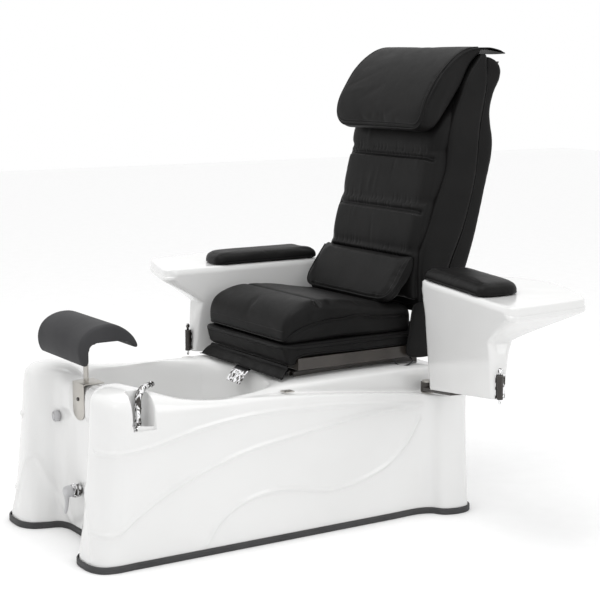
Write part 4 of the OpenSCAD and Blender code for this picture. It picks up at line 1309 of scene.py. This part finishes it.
def build_back_body():
    """The padded side wall of the backrest, between the quilt and the rear cover."""
    outline = body_outline(FRONT_TRIM, SEAM_LINE)
    body = profile_solid("back_body_skin", outline, BACK_HALF_X, 0.010, BLACK_LEATHER, samples=240, ends=5)
    remesh(body, 0.006, smoothing=3)
    place_on(body, "back", "black_leather", "back_bolsters")
    return body


def build_rear_cover():
    """The rounded rear of the backrest, with its side piping and a middle seam."""
    rear = spline(REAR_LINE, per_span=8)
    seam = spline([(y - 0.004, z) for y, z in SEAM_LINE], per_span=8)
    outline = np.vstack([rear, seam[::-1]])
    cover = profile_solid("back_cover_skin", outline, BACK_HALF_X - 0.001, 0.016, BLACK_LEATHER,
                          samples=240, ends=7)
    puff(cover, voxel=0.0075, cap=0.007, pressure=2.5)
    subdivide(cover)
    place_on(cover, "back", "black_leather", "back_shell")
    for side, word in ((1, "left"), (-1, "right")):
        line = along_x(side * BACK_HALF_X, spline(SEAM_LINE[:-1], per_span=8))
        place_on(sew(f"back_seam_{word}", cover, line, 0.0030, lift=0.0016), "back", "black_leather")
    middle = [(0.0, y, z) for y, z in spline(REAR_LINE, per_span=8)]
    place_on(stitches("back_middle_stitching", cover, middle), "back", "black_leather")
    return cover


CHANNELS = (0.815, 0.965, 1.122)
QUILT_LOW_Z, QUILT_TOP_Z = 0.655, 1.400
QUILT_REAR = 0.028
QUILT_SWELL = 0.012
# How far the quilt stands out from the backrest's front, at each height
QUILT_OUT = [(0.655, 0.010), (0.800, 0.010), (0.880, 0.019), (1.036, 0.036), (1.137, 0.056), (1.185, 0.056),
             (1.250, 0.034), (1.300, 0.014), (1.400, 0.006)]
QUILT_EDGE_IN = 0.009
QUILT_HALF_X = 0.250
QUILT_ROWS, QUILT_SIDES = 170, 96


def quilt_swell(z):
    """0 in a channel and 1 in the middle of a panel."""
    stops = np.array([QUILT_LOW_Z - 0.02, *CHANNELS, 1.250, QUILT_TOP_Z + 0.02])
    k = np.clip(np.searchsorted(stops, z) - 1, 0, len(stops) - 2)
    t = (z - stops[k]) / (stops[k + 1] - stops[k])
    return np.sqrt(np.clip(4 * t * (1 - t), 0, 1))


def build_quilt():
    """The quilted front panel: full width, puffed between its channels."""
    rings = []
    for z in np.linspace(QUILT_LOW_Z, QUILT_TOP_Z, QUILT_ROWS):
        swell = float(quilt_swell(z))
        half_x = QUILT_HALF_X - QUILT_EDGE_IN * (1 - swell)
        out = float(np.interp(z, *np.array(QUILT_OUT).T))
        front = -out - QUILT_SWELL * (swell - 0.5)
        ring = []
        for k in range(QUILT_SIDES):
            angle = 2 * math.pi * k / QUILT_SIDES
            c, s = math.cos(angle), math.sin(angle)
            x = half_x * math.copysign(abs(c) ** 0.22, c)
            depth = abs(s) ** 0.42
            y = front * depth if s > 0 else QUILT_REAR * depth
            ring.append((x, float(back_front(z)) + y, z))
        rings.append(np.array(ring))
    quilt = loft("back_quilt_skin", rings, BLACK_LEATHER)
    puff(quilt, voxel=0.0060, cap=0.008, pressure=3.0)
    subdivide(quilt)
    lines = []
    for z in CHANNELS:
        across = [(x, float(back_front(z)) - 0.08, z - 0.012) for x in np.linspace(-0.25, 0.25, 160)]
        lines.append(onto(quilt, across))
    carve(quilt, lines, 0.0072, 0.0095)
    pucker(quilt)
    place_on(quilt, "back", "black_leather", "back_cushion")
    for k, z in enumerate(CHANNELS):
        across = [(x, float(back_front(z)) - 0.08, z - 0.021) for x in np.linspace(-0.238, 0.238, 120)]
        place_on(stitches(f"channel_stitching_{k}", quilt, across), "back", "black_leather")
    return quilt


FOLD_COUNT = 26
FOLD_HEIGHT = 0.0013


def pucker(quilt):
    """Small gathers that run away from each channel, and slow vertical folds between."""
    rng = np.random.default_rng(7)
    co = coordinates(quilt)
    normal = vertex_normals(quilt)
    folds = np.zeros(len(co))
    for _ in range(FOLD_COUNT):
        x, z = rng.uniform(-0.23, 0.23), rng.uniform(0.70, 1.30)
        lean, width, reach = rng.uniform(-0.15, 0.15), rng.uniform(0.006, 0.012), rng.uniform(0.03, 0.06)
        across = co[:, 0] - x - lean * (co[:, 2] - z)
        height = rng.uniform(-FOLD_HEIGHT, FOLD_HEIGHT)
        folds += height * np.exp(-(across / width) ** 2 - ((co[:, 2] - z) / reach) ** 2)
    for z in CHANNELS:
        for x in np.arange(-0.235, 0.236, 0.0165):
            x = x + rng.uniform(-0.004, 0.004)
            side = rng.choice((-1, 1))
            dz = (co[:, 2] - z + 0.008) * side
            reach = rng.uniform(0.010, 0.022)
            on = np.where(dz > 0, np.exp(-((dz - 0.006) / reach) ** 2), 0)
            folds -= 0.0011 * on * np.exp(-((co[:, 0] - x) / 0.0035) ** 2)
    forward = np.clip(-normal[:, 1] * 1.6, 0, 1)
    set_coordinates(quilt, co + normal * (folds * forward)[:, None])


FLAP_PROFILE = [(0.508, 0.803), (0.494, 0.797), (0.468, 0.766), (0.434, 0.716), (0.410, 0.677),
                (0.4015, 0.658),
                (0.4070, 0.6480), (0.420, 0.6510), (0.438, 0.6670), (0.462, 0.6960), (0.488, 0.728),
                (0.506, 0.765)]
FLAP_HALF_X = 0.250
FLAP_CORNER = 0.052
FLAP_WAY = (-0.55, -0.835)
FLAP_REACH = 0.160
FLAP_TIP = (0.4095, 0.6600)


def round_low_corners(piece, half_x, corner, along, low):
    """Draws in the low outer corners of a pad. along is its downward direction in (y, z)."""
    co = coordinates(piece)
    way = np.array(along) / np.linalg.norm(along)
    down = (co[:, 1] * way[0] + co[:, 2] * way[1]) - low
    from_tip = np.clip(-down, 0, None)
    depth = np.clip(corner - from_tip, 0, corner)
    limit = half_x - corner + np.sqrt(np.clip(corner ** 2 - depth ** 2, 0, None))
    limit = np.where(depth > 0, limit, half_x)
    ratio = limit / half_x
    core = half_x - corner * 1.6
    x = np.abs(co[:, 0])
    moved = np.where(x > core, core + (x - core) * (limit - core) / (half_x - core), x)
    co[:, 0] = np.sign(co[:, 0]) * np.where(ratio < 1, moved, x)
    set_coordinates(piece, co)


def edge_ring(half_x, along, low, corner, top, inset, lift_y):
    """A line round the front face of a pad: down one side, round the corners, up the other."""
    way = np.array(along) / np.linalg.norm(along)
    length = low - top
    pts = []
    side = [(half_x - inset, top + length * t) for t in np.linspace(0.0, 1.0 - corner / length, 30)]
    for k in range(13):
        angle = math.pi / 2 * k / 12
        side.append((half_x - corner + (corner - inset) * math.cos(angle),
                     low - corner + (corner - inset) * math.sin(angle)))
    bottom = [(x, low - inset) for x in np.linspace(half_x - corner, -half_x + corner, 60)[1:-1]]
    other = [(-x, d) for x, d in side[::-1]]
    origin = np.array(lift_y)
    for x, d in side + bottom + other:
        y, z = origin + way * d
        pts.append((x, y, z))
    return np.array(pts)


def build_flap():
    """The lumbar pad that leans out over the seat."""
    flap = profile_solid("lumbar_pad_skin", spline(FLAP_PROFILE, closed=True, per_span=8),
                         FLAP_HALF_X - 0.003, 0.012, BLACK_LEATHER, samples=110, ends=6)
    remesh(flap, 0.005, smoothing=1)
    low_at = FLAP_TIP[0] * FLAP_WAY[0] + FLAP_TIP[1] * FLAP_WAY[1]
    round_low_corners(flap, FLAP_HALF_X - 0.003, FLAP_CORNER, FLAP_WAY, low_at)
    puff(flap, voxel=0.0050, cap=0.006, pressure=3.0)
    subdivide(flap)
    place_on(flap, "back", "black_leather", "lumbar_flap")
    ring = edge_ring(FLAP_HALF_X, FLAP_WAY, FLAP_REACH, FLAP_CORNER, 0.0, 0.004, (0.492, 0.799))
    place_on(sew("lumbar_piping", flap, ring, 0.0036, lift=0.0008), "back", "black_leather")
    inner = edge_ring(FLAP_HALF_X, FLAP_WAY, FLAP_REACH, FLAP_CORNER, 0.0, 0.016, (0.480, 0.803))
    place_on(stitches("lumbar_stitching", flap, inner), "back", "black_leather")


# ---- headrest ------------------------------------------------------------------------------
PILLOW_PROFILE = [(0.588, 1.1880), (0.572, 1.1790), (0.552, 1.1770), (0.5395, 1.1880), (0.5365, 1.2150),
                  (0.5430, 1.2550), (0.5650, 1.3030), (0.5960, 1.3480), (0.6300, 1.3850), (0.6700, 1.4150),
                  (0.7150, 1.4370), (0.7550, 1.4450), (0.7740, 1.4420), (0.7740, 1.4290), (0.7560, 1.4150),
                  (0.7260, 1.3860), (0.6900, 1.3200), (0.6460, 1.2600), (0.6120, 1.2160)]
PILLOW_HALF_X = 0.2505
PILLOW_CORNER = 0.060


def build_pillow():
    pillow = profile_solid("headrest_pillow_skin", spline(PILLOW_PROFILE, closed=True, per_span=6),
                           PILLOW_HALF_X - 0.003, 0.013, BLACK_LEATHER, samples=160, ends=6)
    remesh(pillow, 0.0055, smoothing=1)
    way = (-0.33, -0.944)
    low = 0.556 * way[0] + 1.1770 * way[1]
    round_low_corners(pillow, PILLOW_HALF_X - 0.003, PILLOW_CORNER, way, low)
    puff(pillow, voxel=0.0060, cap=0.007, pressure=3.0)
    subdivide(pillow)
    soften = pillow_folds(pillow)
    place_on(soften, "headrest", "black_leather", "headrest_pillow")
    for k, inset in enumerate((0.003, 0.0165)):
        line = pillow_edge(inset)
        place_on(sew(f"pillow_piping_{k}", pillow, line, 0.0032 if k == 0 else 0.0022, lift=0.0006),
                 "headrest", "black_leather")
    place_on(stitches("pillow_stitching", pillow, pillow_edge(0.0225)), "headrest", "black_leather")


def pillow_edge(inset):
    """Down one side of the pillow's front face, round the corners and up the other side."""
    front = evenly(spline(PILLOW_PROFILE[3:12], per_span=10), 90)
    length = np.concatenate([[0], np.cumsum(np.linalg.norm(np.diff(front, axis=0), axis=1))])
    total = length[-1]

    def at(height):
        return [np.interp(height, length, front[:, k]) for k in (0, 1)]

    side = [(PILLOW_HALF_X - inset, h) for h in np.linspace(total, PILLOW_CORNER, 60)]
    for k in range(1, 13):
        angle = math.pi / 2 * k / 12
        side.append((PILLOW_HALF_X - PILLOW_CORNER + (PILLOW_CORNER - inset) * math.cos(angle),
                     PILLOW_CORNER - (PILLOW_CORNER - inset) * math.sin(angle)))
    bottom = [(x, inset) for x in np.linspace(PILLOW_HALF_X - PILLOW_CORNER,
                                              -PILLOW_HALF_X + PILLOW_CORNER, 70)[1:-1]]
    line = side + bottom + [(-x, h) for x, h in side[::-1]]
    return np.array([(x, *at(h)) for x, h in line])


def pillow_folds(pillow):
    """Broad soft creases across the pillow."""
    rng = np.random.default_rng(11)
    co = coordinates(pillow)
    normal = vertex_normals(pillow)
    lift = np.zeros(len(co))
    for _ in range(16):
        x, z = rng.uniform(-0.2, 0.2), rng.uniform(1.20, 1.42)
        slope, width, reach = rng.uniform(-0.5, 0.5), rng.uniform(0.008, 0.016), rng.uniform(0.03, 0.08)
        d = (co[:, 2] - z) - slope * (co[:, 0] - x)
        lift += rng.uniform(-0.0012, 0.0012) * np.exp(-(d / width) ** 2 - ((co[:, 0] - x) / reach) ** 2)
    set_coordinates(pillow, co + normal * lift[:, None])
    return pillow


TAIL_LINE = [(0.766, 1.4430), (0.786, 1.4440), (0.812, 1.4405), (0.836, 1.4345), (0.8515, 1.4270)]
TAIL_HALF_X = 0.250


def build_tail():
    """The pillow's thin hanging strap that lies over the top of the backrest."""
    top = spline(TAIL_LINE, per_span=6)
    under = [(0.8495, 1.4240), (0.834, 1.4305), (0.811, 1.4360), (0.787, 1.4392), (0.766, 1.4370)]
    outline = np.vstack([top, spline(under, per_span=6)])
    tail = profile_solid("headrest_tail_skin", outline, TAIL_HALF_X, 0.0015, BLACK_LEATHER, samples=120,
                         ends=3)
    co = coordinates(tail)
    wave = 0.0015 * np.sin(co[:, 0] * 26.0) * ease((co[:, 1] - 0.78) / 0.06)
    co[:, 2] += wave
    set_coordinates(tail, co)
    place_on(tail, "headrest", "black_leather", "headrest_tail")
    hem = np.array([(x, 0.8510,
                     1.4258 + 0.0015 * math.sin(x * 26.0)) for x in np.linspace(-TAIL_HALF_X, TAIL_HALF_X,
        90)])
    place_on(tube("tail_hem", hem, 0.0022, PIPING, sides=8), "headrest", "black_leather")


# ---- armrests, built closed at +X ------------------------------------------------------------
ARM_X = 0.290
PIVOT = (0.316, 0.512)
ARM_OPEN = 77
TRAY_TOP = 0.738
TRAY_INNER = [(0.290, 0.506), (0.290, -0.058)]
TRAY_FRONT = [(0.291, -0.070), (0.298, -0.080), (0.310, -0.0835), (0.330, -0.079), (0.540, -0.0105),
              (0.566, 0.002), (0.582, 0.022)]
TRAY_OUTER = [(0.590, 0.044), (0.616, 0.145), (0.638, 0.238), (0.6405, 0.280), (0.637, 0.322),
              (0.622, 0.375), (0.602, 0.420), (0.585, 0.450)]
TRAY_REAR = [(0.566, 0.472), (0.540, 0.491), (0.505, 0.503), (0.455, 0.5075), (0.300, 0.5075),
             (0.292, 0.507)]
PANEL_LEVELS = [  # share of the height, rear y, front y, thickness at the rear and front
    (0.0, 0.440, 0.012, 0.052, 0.038), (0.25, 0.458, 0.018, 0.060, 0.050), (0.5, 0.475, 0.028, 0.070, 0.062),
    (0.62, 0.482, 0.038, 0.082, 0.076),
]
PANEL_LOW_REAR, PANEL_LOW_FRONT, PANEL_SPLIT_Z = 0.406, 0.464, 0.622
SIDE_POINTS = (60, 34, 60, 40)
MOULDING_STEP_Z = 0.7135


def ring_of_sides(inner, front, outer, rear):
    """Four matched stretches joined into one closed ring of fixed length."""
    parts = []
    for line, count in zip((inner, front, outer, rear), SIDE_POINTS):
        parts.append(evenly(line, count + 1)[:-1])
    return parts


def keep_inner(ring, inset):
    """The side towards the seat stays one flat face: only this inset shows there."""
    ring = ring.copy()
    ring[:SIDE_POINTS[0], 0] = ARM_X + inset
    return ring


def tray_ring(inset=0.0, flush=0.0):
    corners = [TRAY_INNER[-1], *TRAY_FRONT, TRAY_OUTER[0]]
    front = spline(corners, per_span=8)
    outer = spline([TRAY_FRONT[-1], *TRAY_OUTER, TRAY_REAR[0]], per_span=8)[8:]
    rear = spline([TRAY_OUTER[-1], *TRAY_REAR, TRAY_INNER[0]], per_span=8)[8:]
    inner = np.array(TRAY_INNER)
    parts = ring_of_sides(inner, front, outer, rear)
    ring = inset_ring(np.vstack(parts), inset)
    return keep_inner(ring, min(inset, flush))


def inset_ring(ring, inset):
    if inset == 0:
        return ring
    way = unit(np.roll(ring, -1, 0) - np.roll(ring, 1, 0))
    normal = np.column_stack([-way[:, 1], way[:, 0]])
    area = 0.5 * np.sum(ring[:, 0] * np.roll(ring[:, 1], -1) - np.roll(ring[:, 0], -1) * ring[:, 1])
    return ring + normal * inset * (1 if area > 0 else -1)


def panel_ring(level, inset=0.0):
    """(x, y) ring of the upright panel at a share of its height."""
    table = np.array(PANEL_LEVELS)
    rear_y, front_y, rear_t, front_t = [np.interp(level, table[:, 0], table[:, k]) for k in (1, 2, 3, 4)]
    r = min(0.020, front_t * 0.42)
    inner = [(ARM_X, rear_y - 0.003), (ARM_X, front_y + r)]
    front = [(ARM_X, front_y + r)]
    for k in range(1, 9):
        angle = math.pi + math.pi / 2 * k / 8
        front.append((ARM_X + r + r * math.cos(angle), front_y + r + r * math.sin(angle)))
    for k in range(9):
        angle = -math.pi / 2 + math.pi / 2 * k / 8
        front.append((ARM_X + front_t - r + r * math.cos(angle), front_y + r + r * math.sin(angle)))
    mid = ((rear_t + front_t) / 2 * 1.04, (rear_y + front_y) / 2)
    outer = spline([(ARM_X + front_t, front_y + r), (ARM_X + mid[0], mid[1]),
                    (ARM_X + rear_t, rear_y - 0.016)],
                   per_span=20)
    rear = [(ARM_X + rear_t, rear_y - 0.016)]
    for k in range(1, 9):
        angle = math.pi / 2 * k / 8
        rear.append((ARM_X + rear_t - 0.016 + 0.016 * math.cos(angle),
                     rear_y - 0.016 + 0.016 * math.sin(angle)))
    rear.append((ARM_X + 0.003, rear_y))
    rear.append((ARM_X, rear_y - 0.003))
    return inset_ring(np.vstack(ring_of_sides(inner, front, outer, rear)), inset)


def panel_heights(ring, level):
    """The panel's lower edge slopes: higher at the front than at the rear."""
    rear_y, front_y = ring[:, 1].max(), ring[:, 1].min()
    along = (rear_y - ring[:, 1]) / (rear_y - front_y)
    low = mix(PANEL_LOW_REAR, PANEL_LOW_FRONT, along)
    return mix(low, PANEL_SPLIT_Z, level / PANEL_LEVELS[-1][0])


def with_height(ring, z):
    return np.column_stack([ring, np.broadcast_to(z, len(ring))])


UNDERSIDE_EASE = [0.0, 0.02, 0.07, 0.15, 0.26, 0.40, 0.55, 0.70, 0.84, 0.94, 1.0]


def arm_shell(name):
    """Tray, sloping underside and upright panel as one smooth moulding."""
    rings = []
    bottom = panel_ring(0.0, 0.0055)
    rings.append(with_height(panel_ring(0.0, 0.0075), panel_heights(bottom, 0.0) + 0.020))
    rings.append(with_height(bottom, panel_heights(bottom, 0.0) + 0.0006))
    rings.append(with_height(panel_ring(0.0, 0.0020), panel_heights(bottom, 0.0)))
    rings.append(with_height(panel_ring(0.0, 0.0004), panel_heights(bottom, 0.0) + 0.0012))
    for level in np.linspace(0.015, PANEL_LEVELS[-1][0], 22):
        ring = panel_ring(level)
        rings.append(with_height(ring, panel_heights(ring, level)))
    top_panel = panel_ring(PANEL_LEVELS[-1][0])
    tray = tray_ring(0.0022)
    for k, share in enumerate(UNDERSIDE_EASE[1:]):
        t = (k + 1) / (len(UNDERSIDE_EASE) - 1)
        z = mix(PANEL_SPLIT_Z, 0.7000, 0.18 * t + 0.82 * share ** 0.93)
        rings.append(with_height(mix(top_panel, tray, share), z))
    band = [(0.0012, 0.7006), (0.0004, 0.7020), (0.0, 0.7050), (0.0, MOULDING_STEP_Z - 0.0010),
            (0.0006, MOULDING_STEP_Z), (0.0022, MOULDING_STEP_Z + 0.0006),
            (0.0026, MOULDING_STEP_Z + 0.0020),
            (0.0026, TRAY_TOP - 0.0055), (0.0033, TRAY_TOP - 0.0026), (0.0050, TRAY_TOP - 0.0008),
            (0.0080, TRAY_TOP)]
    for inset, z in band:
        flush = 0.008 if z > TRAY_TOP - 0.003 else 0.0
        rings.append(with_height(tray_ring(inset, flush), z))
    middle = rings[-1][:, :2].mean(0)
    for keep in (0.95, 0.7, 0.35, 0.05):
        rings.append(with_height(middle + (rings[-1][:, :2] - middle) * keep, TRAY_TOP))
    return loft(name, rings, WHITE)


PAD_LINE = [(0.2895, 0.300), (0.2895, 0.150), (0.2920, 0.122), (0.3060, 0.1075), (0.3300, 0.1075),
            (0.3850, 0.1180),
            (0.4160, 0.1320), (0.4350, 0.1560), (0.4440, 0.1900), (0.4470, 0.2400), (0.4470, 0.3800),
            (0.4460, 0.4700), (0.4400, 0.4920), (0.4240, 0.5010), (0.3700, 0.5020), (0.3100, 0.5020),
            (0.2930, 0.4960), (0.2895, 0.4700)]
PAD_LEVELS = [(0.0030, 0.7384), (0.0008, 0.7395), (0.0, 0.7430), (0.0004, 0.7500), (0.0030, 0.7585),
              (0.0085, 0.7650), (0.0170, 0.7695), (0.0290, 0.7722), (0.0440, 0.7738)]
PAD_PUFF = 0.0030


def arm_pad(name):
    """A crowned leather pad on the tray."""
    outline = evenly(spline(PAD_LINE, closed=True, per_span=8), 220, closed=True)
    rings = [with_height(inset_ring(outline, inset), z) for inset, z in PAD_LEVELS]
    middle = rings[-1][:, :2].mean(0)
    for keep in (0.8, 0.5, 0.15):
        rings.append(with_height(middle + (rings[-1][:, :2] - middle) * keep, 0.7744))
    pad = loft(name, rings, BLACK_LEATHER)
    puff(pad, 0.0045, PAD_PUFF, 2.0)
    subdivide(pad)
    co = coordinates(pad)
    co[:, 2] = np.maximum(co[:, 2], TRAY_TOP + 0.0004)
    set_coordinates(pad, co)
    piping = with_height(outline, 0.7425)
    seam = with_height(inset_ring(outline, 0.020), 0.780)
    return pad, sew(name + "_piping", pad, piping, 0.0030, lift=0.0006, closed=True), \
        stitches(name + "_stitching", pad, np.vstack([seam, seam[:1]]))


LATCH_AT = (0.306, 0.002)


def latch_parts(name):
    """Shiny screwed plate with a ribbed spring barrel, and the bolt with its ball."""
    x, y = LATCH_AT
    plate = []
    for z in (0.466, 0.536):
        plate.append([(x - 0.010, 0.0108, z), (x + 0.021, 0.0108, z), (x + 0.021, 0.0138, z),
                      (x - 0.010, 0.0138, z)])
    plate = settle(bevel(loft(name + "_plate", plate, CHROME), 0.0010, 2))
    screws = []
    for z in (0.473, 0.501, 0.529):
        screws.append(lathe("screw", [(0.0036, 0.0), (0.0036, 0.0008), (0.0026, 0.0015), (0.0008, 0.0016)],
                            (x + 0.0150, 0.0108, z), (0, -1, 0), DARK_PAINT, sides=20))
    plate = join(name + "_plate", [plate] + screws)
    profile = [(0.0045, 0.4660), (0.0082, 0.4660), (0.0090, 0.4668), (0.0090, 0.4740)]
    for k in range(15):
        z = 0.4765 + k * 0.0034
        profile += [(0.0078, z), (0.0090, z + 0.0009), (0.0090, z + 0.0022), (0.0078, z + 0.0031)]
    profile += [(0.0090, 0.5290), (0.0090, 0.5332), (0.0080, 0.5340), (0.0045, 0.5340)]
    barrel = lathe(name + "_barrel", profile, (x, y, 0), (0, 0, 1), DARK_PAINT, sides=32)
    bolt = lathe(name + "_bolt", [
        (0.0005, 0.4520), (0.0028, 0.4522), (0.0040, 0.4545), (0.0040, 0.5410), (0.0052, 0.5424),
        (0.0066, 0.5450),
        (0.0070, 0.5480), (0.0066, 0.5510), (0.0050, 0.5536), (0.0026, 0.5550), (0.0004, 0.5553)],
        (x, y, 0), (0, 0, 1), CHROME, sides=32)
    return plate, barrel, bolt


def swung(piece, side):
    """Left armrests turn out about their post; right ones are mirrored and stay closed."""
    if side == "left":
        post = Matrix.Translation((*PIVOT, 0))
        piece.data.transform(post @ Matrix.Rotation(math.radians(ARM_OPEN), 4, "Z") @ post.inverted())
    else:
        piece.data.transform(Matrix.Scale(-1, 4, (1, 0, 0)))
        piece.data.flip_normals()
    piece.data.update()
    return piece


def build_armrest(side):
    """One armrest: moulded tray and panel, pad, latch plate, barrel and bolt."""
    shell = swung(arm_shell(f"arm_tray_{side}"), side)
    place_on(shell, f"armrest_{side}", "white_shell", f"armrest_shell_{side}")
    pad, piping, thread = arm_pad(f"arm_pad_{side}")
    for piece in (pad, piping, thread):
        swung(piece, side)
    place_on(pad, f"armrest_{side}", "black_leather", f"armrest_pad_{side}")
    place_on(piping, f"armrest_{side}", "black_leather")
    place_on(thread, f"armrest_{side}", "black_leather")
    plate, barrel, bolt = [swung(piece, side) for piece in latch_parts(f"latch_{side}")]
    place_on(plate, f"armrest_{side}", "satin_steel", f"latch_barrel_{side}")
    place_on(barrel, f"armrest_{side}", "satin_steel")
    place_on(bolt, f"latch_{side}", "chrome", f"latch_bolt_{side}")


# ---- floor -------------------------------------------------------------------------------------
FLOOR_HALF = 14.0


def build_floor():
    """A plain pale floor, bright enough to run into the white world without an edge."""
    corners = [(-FLOOR_HALF, -FLOOR_HALF), (FLOOR_HALF, -FLOOR_HALF), (FLOOR_HALF, FLOOR_HALF),
               (-FLOOR_HALF, FLOOR_HALF)]
    floor = add_piece("floor", np.array([(x, y, -0.0005) for x, y in corners]), [(0, 1, 2, 3)], FLOOR_PAINT)


# ---- wiring below the seat ---------------------------------------------------------------------
WIRE_ROUTE = [(228, 446, 484.5), (228, 446, 476), (231, 448, 468), (240, 453, 461), (251, 463, 459),
              (259, 476, 462), (260, 489, 468), (253, 499, 472), (242, 504, 473), (232, 506, 477),
              (228, 507, 480), (228, 507, 484.5)]
WIRE_RADIUS = 0.0024


def build_wiring():
    """A slack wire loop, held at both ends under the seat."""
    route = spline(np.array(WIRE_ROUTE) * MM, per_span=8)
    jacket = tube("wiring_jacket", route, WIRE_RADIUS, BLACK_PLASTIC, sides=12)
    place_on(jacket, "seat", "black_plastic", "wiring_loop")


add_world((1.0, 1.0, 1.0), 1.0)
for lamp_name, place, target, size, watts in LAMPS:
    add_light(lamp_name, place, target, size, watts)
add_camera()
bpy.context.scene.view_settings.view_transform = "Standard"
dress_cad_nodes()
build_tub()
build_strip()
build_lever()
build_button()
build_sprayer()
build_spout()
build_bracket()
build_footrest_pad()
build_seat()
build_seat_box()
build_skirt()
build_shrouds()
build_back_body()
build_rear_cover()
build_quilt()
build_flap()
build_pillow()
build_tail()
build_armrest("left")
build_armrest("right")
build_wiring()
build_floor()
